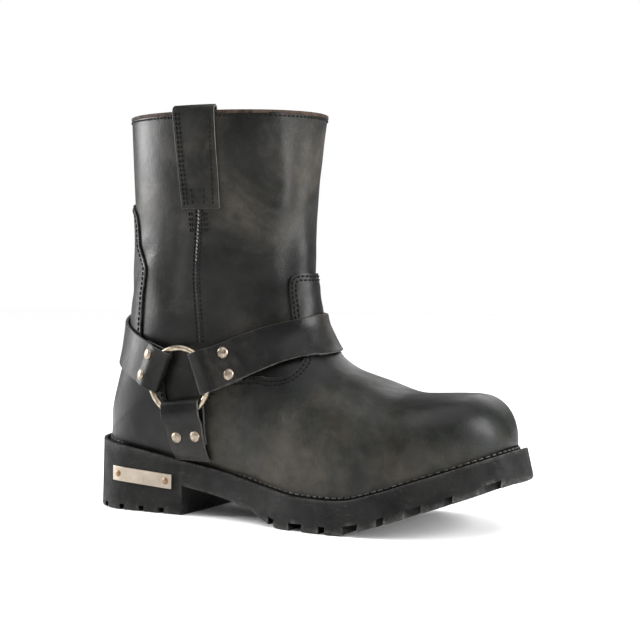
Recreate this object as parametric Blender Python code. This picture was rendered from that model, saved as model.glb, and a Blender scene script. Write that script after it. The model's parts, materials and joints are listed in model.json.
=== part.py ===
# Right harness boot: black leather on a lugged rubber sole, with a ring, three straps and a zip.
# Metres, +Z up, +X to the toe, +Y to the medial side. The origin is under the heel, on the floor.

import bpy
import bmesh
import math
import numpy as np
from collections import namedtuple
from mathutils import Matrix, Vector
from mathutils.bvhtree import BVHTree
from mathutils.interpolate import poly_3d_calc

MM = 0.001

# Driving sizes of the last and the upper
UPPER_LENGTH = 299.2 * MM
HEEL_OFFSET = 30.7 * MM
BALL_WIDTH = 102 * MM
INSTEP_HEIGHT = 126 * MM
COLLAR_HEIGHT = 272 * MM
SHAFT_WIDTH = 112 * MM
TOE_RADIUS = 62 * MM
TOE_POWER = 2.2
HEEL_RADIUS = 30.2 * MM
HEEL_POWER = 2.1
NOSE_RADIUS = 26 * MM
NOSE_POWER = 2.3
TOE_SWING = 3.5 * MM
BALL_AT = 0.73
WALL = 2.4 * MM
LASTING_MARGIN = 12 * MM
GAP = 0.3 * MM

# Driving sizes of the sole
FOREFOOT_THICKNESS = 21 * MM
HEEL_RISE = 28 * MM
TOE_SPRING = 33.5 * MM
SHANK_THICKNESS = 17 * MM
HEEL_MARGIN = 9.0 * MM
SIDE_MARGIN = 6.6 * MM
TOE_MARGIN = 8 * MM
SIDE_FLARE = 2.5 * MM
FLARE_RUN = 60 * MM
HEEL_FLARE = 1.2 * MM
EDGE_BEVEL = 1.5 * MM
RIM_WIDTH = 2.6 * MM
RIM_ROUND = 0.8 * MM
BREAST_AT = 45 * MM
BREAST_SLOPE = 0.6 * MM
TREAD_START = 100 * MM
TREAD_RUN = 33 * MM
LUG_DEPTH = 5 * MM
NOTCH_OUTSIDE = 15 * MM
NOTCH_BELOW = 8 * MM
NOTCH_KEEP = 4 * MM
HEEL_LUG_DEPTH = 4 * MM
WELT_DROP = 1.6 * MM
WELT_THICKNESS = 3 * MM
WELT_TUCK = 5 * MM
INSOLE_THICKNESS = 3 * MM
INSOLE_ROOM = 1.4 * MM

# Driving sizes of the overlays, straps and metal
OVERLAY_THICKNESS = 1.4 * MM
STRAP_WIDTH = 28.5 * MM
STRAP_THICKNESS = 2.2 * MM
STRAP_ROOM = 0.7 * MM
RING_RADIUS = 22.3 * MM
RING_WIRE = 2.0 * MM
RING_X = 49.5 * MM
RING_Z = 92.5 * MM
RIVET_RADIUS = 4 * MM
RIVET_HEIGHT = 1.8 * MM
LOOP_WIDTH = 31 * MM
LOOP_THICKNESS = 2.0 * MM
LOOP_X = 65.5 * MM
LOOP_LENGTH = 64 * MM
LOOP_RISE = 4.5 * MM
LOOP_INSIDE = 34 * MM
LOOP_TURN = 2 * MM
ZIP_SLOT = 14 * MM
ZIP_LOW = 84 * MM
ZIP_CUT_FROM = 12 * MM
VAMP_NOTCH_BACK = 0.28
VAMP_NOTCH_FRONT = 0.428
VAMP_NOTCH_TOP = 0.5
VAMP_NOTCH_BELOW = 8 * MM
VAMP_NOTCH_CORNER = 6 * MM
VAMP_NOTCH_FROM = 5 * MM
TAPE_WIDTH = 24 * MM
TAPE_THICKNESS = 0.8 * MM
TAPE_BELOW = 6 * MM
TAPE_DROP = 1 * MM
TEETH_WIDTH = 5.6 * MM
TEETH_THICKNESS = 2.2 * MM
TEETH_INSET = 3 * MM
SLIDER_WIDTH = 9.6 * MM
SLIDER_HEIGHT = 13 * MM
SLIDER_THICKNESS = 4.2 * MM
SLIDER_DROP = 3 * MM
SLIDER_CORNER = 2 * MM
SLIDER_WAIST = 0.72
SLIDER_FLANK = 0.1
SLIDER_SINK = 0.5 * MM
BRIDGE_SINK = 0.2 * MM
BRIDGE_FOOT = 0.8 * MM
BRIDGE_WIDTH = 2.6 * MM
BRIDGE_WALL = 1.0 * MM
PULL_WIDTH = 9.7 * MM
PULL_LENGTH = 30 * MM
PULL_THICKNESS = 1.5 * MM
PULL_RAIL = 2.6 * MM
PULL_EYE_RAIL = 1.612 * MM
PULL_EYE_LOW = 5 * MM
PULL_NECK = 8.5 * MM
PULL_CORNER = 2 * MM
EYE_LENGTH = 6 * MM
EYE_TOP = 0.15 * MM
HOLE_LOW = 3 * MM
HOLE_HIGH = 9 * MM
PLATE_LENGTH = 50 * MM
PLATE_WIDTH = 10 * MM
PLATE_THICKNESS = 1.2 * MM
PLATE_START = -12.4 * MM
PLATE_HEIGHT = 25.6 * MM
PLATE_SLOPE = -3.8
STUD_RADIUS = 2.4 * MM
STUD_HEIGHT = 1.0 * MM
STUD_INSET = 5 * MM

HEEL_BACK = -HEEL_OFFSET
TOE_TIP = UPPER_LENGTH - HEEL_OFFSET
OVERLAY_FACE = GAP + OVERLAY_THICKNESS

# How far cutters reach past the forms, and how far off a look at a form starts
CUTTER_REACH = 40 * MM
CUTTER_BELOW = 10 * MM
LOOK_FROM = 500 * MM
LOOK_NEAR = 50 * MM

# Mesh density
ARC_STEPS = 11
END_CLOSENESS = 0.07
TOE_STEPS = 7
HEEL_STEPS = 5
FOOT_STEPS = 13
SHAFT_STEPS = 12
STRAP_STEPS = 3
FRONT_STEPS = 11
BACK_STEPS = 19
RIVET_SIDES = 12

# Rim and underside of the sole. along is a share of the outsole's length from the heel;
# rise is a share of HEEL_RISE and spring a share of TOE_SPRING.
SoleRow = namedtuple("SoleRow", "along rise spring")
SOLE_PROFILE = [
    SoleRow(0.000, 1.000, 0.00),
    SoleRow(0.126, 0.820, 0.00),
    SoleRow(0.267, 0.570, 0.00),
    SoleRow(0.377, 0.375, 0.00),
    SoleRow(0.487, 0.145, 0.00),
    SoleRow(0.597, 0.000, 0.00),
    SoleRow(0.652, 0.000, 0.00),
    SoleRow(0.685, 0.000, 0.02),
    SoleRow(0.755, 0.000, 0.19),
    SoleRow(0.833, 0.000, 0.44),
    SoleRow(0.912, 0.000, 0.70),
    SoleRow(1.000, 0.000, 1.00),
]

# Straight half-widths of the feather line, before the ends are rounded.
# along is a share of UPPER_LENGTH; lateral and medial are shares of BALL_WIDTH.
FeatherRow = namedtuple("FeatherRow", "along lateral medial")
FEATHER = [
    FeatherRow(0.000, 0.314, 0.314),
    FeatherRow(0.311, 0.314, 0.290),
    FeatherRow(0.443, 0.362, 0.300),
    FeatherRow(0.574, 0.457, 0.390),
    FeatherRow(0.689, 0.486, 0.467),
    FeatherRow(0.787, 0.479, 0.492),
    FeatherRow(0.885, 0.467, 0.457),
    FeatherRow(1.000, 0.452, 0.414),
]

# Sections of the foot, heel to toe. along and top_along are shares of UPPER_LENGTH,
# top a share of INSTEP_HEIGHT, lateral and medial shares of BALL_WIDTH,
# widest the share of the section's height where it is widest.
FootRow = namedtuple("FootRow", "along top_along top lateral medial widest power")
FOOT_SECTIONS = [
    FootRow(0.000, 0.527, 1.247, 0.410, 0.410, 0.38, 2.00),
    FootRow(0.043, 0.529, 1.192, 0.405, 0.405, 0.34, 2.00),
    FootRow(0.115, 0.534, 1.129, 0.400, 0.400, 0.32, 2.00),
    FootRow(0.213, 0.538, 1.052, 0.395, 0.390, 0.34, 2.05),
    FootRow(0.344, 0.548, 0.984, 0.410, 0.390, 0.35, 2.10),
    FootRow(0.469, 0.567, 0.893, 0.443, 0.410, 0.36, 2.10),
    FootRow(0.584, 0.611, 0.806, 0.486, 0.448, 0.36, 2.20),
    FootRow(0.689, 0.692, 0.740, 0.505, 0.486, 0.36, 2.30),
    FootRow(0.787, 0.788, 0.675, 0.498, 0.507, 0.36, 2.50),
    FootRow(0.902, 0.903, 0.683, 0.494, 0.472, 0.36, 2.60),
    FootRow(1.000, 1.000, 0.679, 0.471, 0.433, 0.36, 2.60),
]

# Sections of the shaft, heel to collar. up is the share of the way from feather to collar,
# back and front are shares of UPPER_LENGTH, front_height of COLLAR_HEIGHT, half of SHAFT_WIDTH.
ShaftRow = namedtuple("ShaftRow", "up back front front_height half widest")
SHAFT_SECTIONS = [
    ShaftRow(0.000, 0.000, 0.527, 0.578, 0.373, 0.38),
    ShaftRow(0.065, 0.002, 0.521, 0.610, 0.378, 0.40),
    ShaftRow(0.163, 0.021, 0.521, 0.649, 0.388, 0.42),
    ShaftRow(0.261, 0.044, 0.519, 0.690, 0.400, 0.46),
    ShaftRow(0.381, 0.060, 0.518, 0.735, 0.414, 0.50),
    ShaftRow(0.502, 0.070, 0.520, 0.783, 0.428, 0.50),
    ShaftRow(0.626, 0.076, 0.523, 0.838, 0.442, 0.50),
    ShaftRow(0.746, 0.073, 0.529, 0.890, 0.456, 0.50),
    ShaftRow(0.875, 0.070, 0.535, 0.945, 0.468, 0.50),
    ShaftRow(1.000, 0.067, 0.543, 1.000, 0.478, 0.50),
]
SIDE_POWER = 2.3

# Side outlines of the overlays. along is a share of UPPER_LENGTH, up a share of COLLAR_HEIGHT.
OutlineRow = namedtuple("OutlineRow", "along up")
VAMP_EDGE = [
    OutlineRow(0.295, 0.335),
    OutlineRow(0.370, 0.347),
    OutlineRow(0.447, 0.356),
    OutlineRow(0.480, 0.353),
    OutlineRow(0.507, 0.355),
    OutlineRow(0.527, 0.361),
    OutlineRow(0.541, 0.375),
    OutlineRow(0.548, 0.396),
    OutlineRow(0.544, 0.423),
    OutlineRow(0.527, 0.456),
    OutlineRow(0.509, 0.493),
    OutlineRow(0.502, 0.537),
    OutlineRow(0.498, 0.581),
    OutlineRow(0.501, 0.597),
    OutlineRow(0.512, 0.606),
]
COUNTER_EDGE = [
    OutlineRow(0.291, 0.335),
    OutlineRow(0.216, 0.342),
    OutlineRow(0.173, 0.364),
    OutlineRow(0.151, 0.412),
    OutlineRow(0.145, 0.463),
    OutlineRow(0.147, 0.511),
    OutlineRow(0.151, 0.551),
    OutlineRow(0.161, 0.588),
    OutlineRow(0.165, 0.619),
    OutlineRow(0.154, 0.643),
    OutlineRow(0.141, 0.673),
    OutlineRow(0.133, 0.721),
    OutlineRow(0.123, 0.754),
    OutlineRow(0.103, 0.772),
    OutlineRow(0.076, 0.785),
    OutlineRow(0.056, 0.789),
]

# Centre line of the zip, low to high. up is a share of COLLAR_HEIGHT, along of UPPER_LENGTH.
ZIP_LINE = [
    OutlineRow(0.362, 0.300),
    OutlineRow(0.367, 0.382),
    OutlineRow(0.380, 0.728),
    OutlineRow(0.392, 1.010),
]

# Straps beyond the ring. turn is degrees round an upright axis, from +X to the medial side;
# up is the centre line as a share of INSTEP_HEIGHT, and lean is how far the top edge stands off,
# as a share of STRAP_WIDTH.
StrapRow = namedtuple("StrapRow", "turn up lean")
FRONT_STRAP = [
    StrapRow(-47, 0.888, 0.00),
    StrapRow(-34, 0.920, 0.00),
    StrapRow(-18, 0.957, 0.00),
    StrapRow(0, 0.984, 0.00),
    StrapRow(18, 0.985, 0.00),
    StrapRow(34, 0.960, 0.00),
    StrapRow(52, 0.937, 0.00),
]
BACK_STRAP = [
    StrapRow(246, 0.860, 0.00),
    StrapRow(230, 0.890, 0.00),
    StrapRow(214, 0.925, 0.01),
    StrapRow(197, 0.955, 0.02),
    StrapRow(180, 0.985, 0.03),
    StrapRow(163, 1.015, 0.03),
    StrapRow(146, 1.045, 0.03),
    StrapRow(126, 1.050, 0.02),
    StrapRow(106, 1.025, 0.01),
    StrapRow(84, 0.992, 0.00),
    StrapRow(64, 0.965, 0.00),
    StrapRow(51, 0.952, 0.00),
]

# Each strap at the ring: its direction in the ring's plane, where its rivets sit and how far
# its folded end runs, both as distances from the ring's centre.
RingStrap = namedtuple("RingStrap", "angle rivets end")
AT_RING = {
    "strap_front": RingStrap(20, 36.5 * MM, 43 * MM),
    "strap_back": RingStrap(157, 27.5 * MM, 35 * MM),
    "strap_low": RingStrap(276, 38 * MM, 44 * MM),
}
RIVET_SPREAD = 7.6 * MM
FOLD_CLOSING = 2 * MM
FOLD_OPENING = 3 * MM
FOLD_LANDING = 7 * MM
FOLD_OVERLAP = 2 * MM
FOLD_DROP = 9 * MM
LOW_STRAP_RISE = 4 * MM
END_RIVET_INSET = 10 * MM
LOW_STRAP_FOOT = 54.5 * MM
FRONT_AXIS = 60 * MM
BACK_AXIS = 30 * MM

# Forefoot notches alternate narrow and wide, from the waist to the toe
NOTCH_START = 124 * MM
NOTCH_PITCH = 20.5 * MM
NOTCH_COUNT = 8
NOTCH_WIDE = 10.5 * MM
NOTCH_NARROW = 5 * MM
NOTCH_REACH_WIDE = 24 * MM
NOTCH_REACH_NARROW = 11 * MM
HEEL_NOTCH_START = -22 * MM
HEEL_NOTCH_PITCH = 16.8 * MM
HEEL_NOTCH_COUNT = 4
HEEL_NOTCH_WIDTH = 4.2 * MM
HEEL_NOTCH_REACH = 12 * MM


def clear_scene():
    for item in list(bpy.data.objects):
        bpy.data.objects.remove(item, do_unlink=True)


def smooth(knots, values, where):
    # Monotone cubic through the rows of a table, held level beyond its ends
    x = np.asarray(knots, float)
    y = np.asarray(values, float)
    step = np.diff(x)
    slope = np.diff(y) / step
    tangent = np.zeros(len(x))
    tangent[0] = slope[0]
    tangent[-1] = slope[-1]
    for k in range(1, len(x) - 1):
        if slope[k - 1] * slope[k] > 0:
            left = 2 * step[k] + step[k - 1]
            right = step[k] + 2 * step[k - 1]
            tangent[k] = (left + right) / (left / slope[k - 1] + right / slope[k])
    at = min(max(where, x[0]), x[-1])
    k = int(min(max(np.searchsorted(x, at) - 1, 0), len(step) - 1))
    t = (at - x[k]) / step[k]
    rise = (3 - 2 * t) * t * t
    start = t * (1 - t) ** 2 * step[k] * tangent[k]
    stop = t * t * (t - 1) * step[k] * tangent[k + 1]
    return float(y[k] + rise * (y[k + 1] - y[k]) + start + stop)


def read(table, column, where):
    knots = [row[0] for row in table]
    values = [getattr(row, column) for row in table]
    return smooth(knots, values, where)


def ease(t):
    t = min(max(t, 0.0), 1.0)
    return t * t * (3 - 2 * t)


def end_round(distance, radius, power):
    # 0 at an end of the outline, 1 from radius inwards
    if distance >= radius:
        return 1.0
    inside = (radius - max(distance, 0.0)) / radius
    return max(1.0 - inside ** power, 0.0) ** (1.0 / power)


def foot_share(x):
    return (x - HEEL_BACK) / UPPER_LENGTH


def foot_x(share):
    return HEEL_BACK + share * UPPER_LENGTH


def sole_share(x):
    start = HEEL_BACK - HEEL_MARGIN
    return (x - start) / (TOE_TIP + TOE_MARGIN - start)


def spring(x):
    return TOE_SPRING * read(SOLE_PROFILE, "spring", sole_share(x))


def rim_height(x):
    return FOREFOOT_THICKNESS + HEEL_RISE * read(SOLE_PROFILE, "rise", sole_share(x)) + spring(x)


def welt_top(x):
    return rim_height(x) - WELT_DROP


def feather_height(x):
    return welt_top(x) + 2 * GAP


def under_height(x):
    # Underside with its lugs: flat heel, waist, then the forefoot and toe spring
    if x <= BREAST_AT:
        return 0.0
    waist = rim_height(x) - SHANK_THICKNESS
    tread = spring(x)
    into_tread = ease((x - TREAD_START) / TREAD_RUN)
    return waist + (tread - waist) * into_tread


def centre_y(x):
    ball = foot_x(BALL_AT)
    return TOE_SWING * ease((x - ball) / (TOE_TIP - ball))


def half_width(x, side, heel, flank, toe):
    # Half-width of an outline that lies outside the feather line by heel, flank and toe
    column = "lateral" if side < 0 else "medial"
    straight = BALL_WIDTH * read(FEATHER, column, foot_share(x)) + flank
    nose = end_round(TOE_TIP + toe - x, TOE_RADIUS + toe, TOE_POWER)
    tail = end_round(x - HEEL_BACK + heel, HEEL_RADIUS + heel, HEEL_POWER)
    return straight * nose * tail


def stations(heel, toe, middle):
    # Shared stations along an outline: round the heel, along the sides, round the toe
    xs = []
    for k in range(HEEL_STEPS):
        turn = 0.5 * math.pi * k / HEEL_STEPS
        xs.append(HEEL_BACK - heel + (HEEL_RADIUS + heel) * (1 - math.cos(turn)))
    xs.extend(middle)
    for k in range(TOE_STEPS - 1, -1, -1):
        turn = 0.5 * math.pi * k / TOE_STEPS
        xs.append(TOE_TIP + toe - (TOE_RADIUS + toe) * (1 - math.cos(turn)))
    return xs


def middle_stations(with_breast):
    start = HEEL_BACK + HEEL_RADIUS
    stop = TOE_TIP - TOE_RADIUS
    if not with_breast:
        return list(np.linspace(start, stop, FOOT_STEPS))
    before = list(np.linspace(start, BREAST_AT, 4))
    after = list(np.linspace(BREAST_AT + BREAST_SLOPE, stop, FOOT_STEPS))
    return before + after


def outline(heel, flank, toe, height, middle):
    # One closed outline as two lists of points, lateral and medial
    sides = []
    for side in (-1, 1):
        line = []
        for x in stations(heel, toe, middle):
            y = centre_y(x) + side * half_width(x, side, heel, flank, toe)
            line.append(Vector((x, y, height(x))))
        sides.append(line)
    return sides


def add_object(name, mesh, material):
    item = bpy.data.objects.new(name, mesh)
    bpy.context.scene.collection.objects.link(item)
    if material:
        mesh.materials.append(material)
    return item


def make_material(name, colour, roughness, metallic):
    material = bpy.data.materials.new(name)
    material.use_nodes = True
    shader = material.node_tree.nodes["Principled BSDF"]
    shader.inputs["Base Color"].default_value = (*colour, 1.0)
    shader.inputs["Roughness"].default_value = roughness
    shader.inputs["Metallic"].default_value = metallic
    return material


def finish_mesh(name, bm, material, sharp_degrees=35):
    bmesh.ops.remove_doubles(bm, verts=bm.verts, dist=0.00001)
    bmesh.ops.recalc_face_normals(bm, faces=bm.faces)
    mesh = bpy.data.meshes.new(name)
    bm.to_mesh(mesh)
    bm.free()
    mesh.shade_smooth()
    mesh.set_sharp_from_angle(angle=math.radians(sharp_degrees))
    return add_object(name, mesh, material)


def add_face(bm, corners):
    different = []
    for corner in corners:
        if corner not in different:
            different.append(corner)
    if len(different) > 2 and bm.faces.get(different) is None:
        bm.faces.new(different)


def grid_faces(bm, rows, closed=False, split=False):
    # Faces between rows of vertices; closed joins the last row to the first,
    # and split cuts every face in two, with the diagonals mirrored about the middle column
    count = len(rows) if closed else len(rows) - 1
    for i in range(count):
        one = rows[i]
        two = rows[(i + 1) % len(rows)]
        for j in range(len(one) - 1):
            if split and 2 * j < len(one) - 1:
                add_face(bm, [one[j], one[j + 1], two[j + 1]])
                add_face(bm, [one[j], two[j + 1], two[j]])
            elif split:
                add_face(bm, [one[j], one[j + 1], two[j]])
                add_face(bm, [one[j + 1], two[j + 1], two[j]])
            else:
                add_face(bm, [one[j], one[j + 1], two[j + 1], two[j]])


def stack(name, levels, material, closed=False):
    # A solid from outlines, each two sides with shared stations; a closed stack is a ring
    bm = bmesh.new()
    rings = [[[bm.verts.new(p) for p in side] for side in level] for level in levels]
    for which in (0, 1):
        grid_faces(bm, [ring[which] for ring in rings], closed)
    if not closed:
        for ring in (rings[0], rings[-1]):
            grid_faces(bm, ring)
    bmesh.ops.remove_doubles(bm, verts=bm.verts, dist=0.00001)
    return finish_mesh(name, bm, material)


def slab(name, outer, inner, material, sharp_degrees=35):
    # A closed solid between two grids of points of the same shape
    bm = bmesh.new()
    top = [[bm.verts.new(p) for p in row] for row in outer]
    low = [[bm.verts.new(p) for p in row] for row in inner]
    grid_faces(bm, top)
    grid_faces(bm, low)
    grid_faces(bm, [top[0], low[0]])
    grid_faces(bm, [top[-1], low[-1]])
    grid_faces(bm, [[row[0] for row in top], [row[0] for row in low]])
    grid_faces(bm, [[row[-1] for row in top], [row[-1] for row in low]])
    return finish_mesh(name, bm, material, sharp_degrees)


def prism(name, points, low_y, high_y):
    # A hidden cutter: a side outline run across the boot
    bm = bmesh.new()
    near = [bm.verts.new((x, low_y, z)) for x, z in points]
    far = [bm.verts.new((x, high_y, z)) for x, z in points]
    bm.faces.new(near)
    bm.faces.new(far[::-1])
    for k in range(len(points)):
        after = (k + 1) % len(points)
        bm.faces.new([near[k], near[after], far[after], far[k]])
    cutter = finish_mesh(name, bm, None)
    cutter.hide_render = True
    cutter.display_type = "WIRE"
    return cutter


def cut(item, cutter, operation="DIFFERENCE"):
    change = item.modifiers.new(cutter.name, "BOOLEAN")
    change.operation = operation
    change.object = cutter
    change.solver = "EXACT"


def section_side(foot_half, half, widest, power, length):
    # One side of a section as shares of the way up with half-widths, closest together at its ends
    half = max(half, 1e-9)
    ratio = min(foot_half / half, 0.9999)
    start = math.asin(math.sqrt(1 - ratio ** SIDE_POWER))
    deep = widest / max(1 - ratio ** SIDE_POWER, 1e-12) ** (1 / SIDE_POWER)
    curve = []
    for k in range(25):
        turn = start * (1 - k / 24)
        y = half * math.cos(turn) ** (2 / SIDE_POWER)
        curve.append((widest - deep * math.sin(turn) ** (2 / SIDE_POWER), y))
    for k in range(1, 41):
        turn = 0.5 * math.pi * k / 40
        y = half * max(math.cos(turn), 0.0) ** (2 / power)
        curve.append((widest + (1 - widest) * math.sin(turn) ** (2 / power), y))
    curve = np.array(curve)
    curve[-1, 1] = 0.0
    run = np.hypot(np.diff(curve[:, 0]) * length, np.diff(curve[:, 1]))
    along = np.concatenate([[0], np.cumsum(run)])
    share = np.linspace(0, 1, ARC_STEPS + 1)
    close_at_ends = share - END_CLOSENESS * np.sin(2 * math.pi * share)
    even = along[-1] * close_at_ends
    return np.stack([np.interp(even, along, curve[:, c]) for c in (0, 1)], axis=1)


def full_section(low, top, foot_halves, halves, centre, widest, power):
    # Points from the lateral feather line, over the top, to the medial feather line
    low = np.array(low)
    top = np.array(top)
    length = float(np.linalg.norm(top - low))
    lateral = section_side(foot_halves[0], halves[0], widest, power, length)
    medial = section_side(foot_halves[1], halves[1], widest, power, length)
    points = []
    for share, half in lateral:
        x, z = low + share * (top - low)
        points.append((x, centre - half, z))
    for share, half in medial[-2::-1]:
        x, z = low + share * (top - low)
        points.append((x, centre + half, z))
    return points


def foot_section(x):
    share = foot_share(x)
    low_z = feather_height(x)
    nose = end_round(TOE_TIP - x, TOE_RADIUS, TOE_POWER)
    lift = end_round(TOE_TIP - x, NOSE_RADIUS, NOSE_POWER)
    top_z = INSTEP_HEIGHT * read(FOOT_SECTIONS, "top", share)
    top_z = low_z + (top_z - low_z) * lift
    top_x = foot_x(read(FOOT_SECTIONS, "top_along", share))
    foot_halves = [half_width(x, side, 0, 0, 0) for side in (-1, 1)]
    halves = [BALL_WIDTH * nose * read(FOOT_SECTIONS, column, share) for column in ("lateral", "medial")]
    widest = read(FOOT_SECTIONS, "widest", share)
    power = read(FOOT_SECTIONS, "power", share)
    return full_section((x, low_z), (top_x, top_z), foot_halves, halves, centre_y(x), widest, power)


def shaft_section(up):
    heel_z = feather_height(HEEL_BACK)
    low = (foot_x(read(SHAFT_SECTIONS, "back", up)), heel_z + up * (COLLAR_HEIGHT - heel_z))
    front_z = COLLAR_HEIGHT * read(SHAFT_SECTIONS, "front_height", up)
    top = (foot_x(read(SHAFT_SECTIONS, "front", up)), front_z)
    half = SHAFT_WIDTH * read(SHAFT_SECTIONS, "half", up)
    widest = read(SHAFT_SECTIONS, "widest", up)
    return full_section(low, top, (0, 0), (half, half), 0.0, widest, 2.0)


def upper_grid():
    # Rows from the toe tip back to the heel, then up to the collar
    xs = stations(0, 0, middle_stations(False))
    rows = [foot_section(x) for x in reversed(xs)]
    for k in range(1, SHAFT_STEPS + 1):
        rows.append(shaft_section(k / SHAFT_STEPS))
    return np.array(rows)


def grid_normals(grid):
    # Outward normals; the toe tip looks forwards and the two edges of the shaft's rows agree
    down = np.gradient(grid, axis=0)
    across = np.gradient(grid, axis=1)
    normals = np.cross(down, across)
    size = np.linalg.norm(normals, axis=2, keepdims=True)
    normals = normals / np.maximum(size, 1e-15)
    normals[0, :] = (1, 0, 0)
    heel_row = len(grid) - SHAFT_STEPS - 1
    for i in range(heel_row, len(grid)):
        both = normals[i, 0] + normals[i, -1]
        both[1] = 0
        normals[i, 0] = both / np.linalg.norm(both)
        normals[i, -1] = normals[i, 0]
    middle = grid[len(grid) // 2].mean(axis=0)
    probe = grid[len(grid) // 2, ARC_STEPS // 2]
    if np.dot(normals[len(grid) // 2, ARC_STEPS // 2], probe - middle) < 0:
        normals = -normals
        normals[0, :] = (1, 0, 0)
    return normals


def moved_grid(grid, normals, distance):
    return grid + normals * distance


def margin_rows():
    # The lasting margin's inner edge, at the same stations as the foot's rows, toe to heel
    tuck = -LASTING_MARGIN
    inner = outline(tuck, tuck, tuck, feather_height, middle_stations(False))
    return [side[::-1] for side in inner]


def level_shift(point, normal, distance):
    # Moves a point of the feather line level, so that it lies distance off the wall
    level = Vector((normal[0], normal[1], 0))
    size = max(level.length, 0.5)
    return Vector(point) + level.normalized() * (distance / size)


def make_upper(grid, normals, material):
    # One closed wall: outer and inner rows, and the lasting margin turned in underneath
    foot_count = len(grid) - SHAFT_STEPS
    inside = moved_grid(grid, normals, -WALL)
    for column in (0, -1):
        for i in range(foot_count):
            corner = level_shift(grid[i, column], normals[i, column], -WALL)
            inside[i, column] = (corner.x, corner.y, feather_height(corner.x) + WALL)
    inside[0, :] = inside[0, 0]
    bm = bmesh.new()
    outer_rows = [[bm.verts.new(p) for p in row] for row in grid]
    inner_rows = [[bm.verts.new(p) for p in row] for row in inside]
    grid_faces(bm, outer_rows, split=True)
    grid_faces(bm, inner_rows, split=True)
    grid_faces(bm, [outer_rows[-1], inner_rows[-1]])
    for column, line in zip((0, -1), margin_rows()):
        under = [bm.verts.new(p) for p in line]
        above = [bm.verts.new(p + Vector((0, 0, WALL))) for p in line]
        grid_faces(bm, [[row[column] for row in outer_rows[:foot_count]], under])
        grid_faces(bm, [under, above])
        grid_faces(bm, [above, [row[column] for row in inner_rows[:foot_count]]])
    return finish_mesh("upper", bm, material, 50)


def make_shell(name, grid, normals, material):
    # The closed form between two larger copies of the upper
    inner = moved_grid(grid, normals, GAP)
    outer = moved_grid(grid, normals, OVERLAY_FACE)
    foot_count = len(grid) - SHAFT_STEPS
    for form, distance in ((inner, GAP), (outer, OVERLAY_FACE)):
        for column in (0, -1):
            for i in range(foot_count):
                foot = level_shift(grid[i, column], normals[i, column], distance)
                form[i, column] = (foot.x, foot.y, feather_height(foot.x))
        form[0, :, 2] = feather_height(form[0, 0, 0])
    bm = bmesh.new()
    rows_in = [[bm.verts.new(p) for p in row] for row in inner]
    rows_out = [[bm.verts.new(p) for p in row] for row in outer]
    grid_faces(bm, rows_in, split=True)
    grid_faces(bm, rows_out, split=True)
    grid_faces(bm, [rows_in[-1], rows_out[-1]])
    for column in (0, -1):
        low = [row[column] for row in rows_in[:foot_count]]
        high = [row[column] for row in rows_out[:foot_count]]
        grid_faces(bm, [low, high])
    return finish_mesh(name, bm, material, 50)


def edge_points(table):
    return [(foot_x(row.along), COLLAR_HEIGHT * row.up) for row in table]


def make_vamp(grid, normals, material):
    vamp = make_shell("vamp", grid, normals, material)
    far = TOE_TIP + CUTTER_REACH
    shape = edge_points(VAMP_EDGE)
    shape += [(far, shape[-1][1]), (far, -CUTTER_BELOW), (shape[0][0], -CUTTER_BELOW)]
    cut(vamp, prism("vamp_outline", shape, -BALL_WIDTH, BALL_WIDTH), "INTERSECT")
    low_x = foot_x(VAMP_NOTCH_BACK)
    high_x = foot_x(VAMP_NOTCH_FRONT)
    high_z = COLLAR_HEIGHT * VAMP_NOTCH_TOP
    low_z = ZIP_LOW - VAMP_NOTCH_BELOW
    corner = VAMP_NOTCH_CORNER
    notch = [(low_x, low_z), (high_x - corner, low_z), (high_x, low_z + corner)]
    notch += [(high_x, high_z), (low_x, high_z)]
    cut(vamp, prism("vamp_zip_notch", notch, VAMP_NOTCH_FROM, BALL_WIDTH))
    return vamp


def make_counter(grid, normals, material):
    counter = make_shell("counter", grid, normals, material)
    far = HEEL_BACK - CUTTER_REACH
    shape = edge_points(COUNTER_EDGE)
    shape += [(far, shape[-1][1]), (far, -CUTTER_BELOW), (shape[0][0], -CUTTER_BELOW)]
    cut(counter, prism("counter_outline", shape, -BALL_WIDTH, BALL_WIDTH), "INTERSECT")
    return counter


def flare(x):
    return SIDE_FLARE * ease((x - BREAST_AT) / FLARE_RUN) + HEEL_FLARE


def sole_level(extra, height, middle):
    sides = []
    heel = HEEL_MARGIN + extra(HEEL_BACK)
    toe = TOE_MARGIN + extra(TOE_TIP)
    for side in (-1, 1):
        line = []
        for x in stations(heel, toe, middle):
            flank = SIDE_MARGIN + extra(x)
            y = centre_y(x) + side * half_width(x, side, heel, flank, toe)
            line.append(Vector((x, y, height(x))))
        sides.append(line)
    return sides


def recess_height(x):
    return welt_top(x) - WELT_THICKNESS - GAP


def make_outsole(material):
    middle = middle_stations(True)
    levels = [
        sole_level(lambda x: flare(x) - EDGE_BEVEL, under_height, middle),
        sole_level(flare, lambda x: under_height(x) + EDGE_BEVEL, middle),
        sole_level(lambda x: 0.0, lambda x: rim_height(x) - RIM_ROUND, middle),
        sole_level(lambda x: -RIM_ROUND, rim_height, middle),
        sole_level(lambda x: -RIM_WIDTH, rim_height, middle),
        sole_level(lambda x: -RIM_WIDTH, recess_height, middle),
    ]
    return stack("outsole", levels, material)


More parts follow.
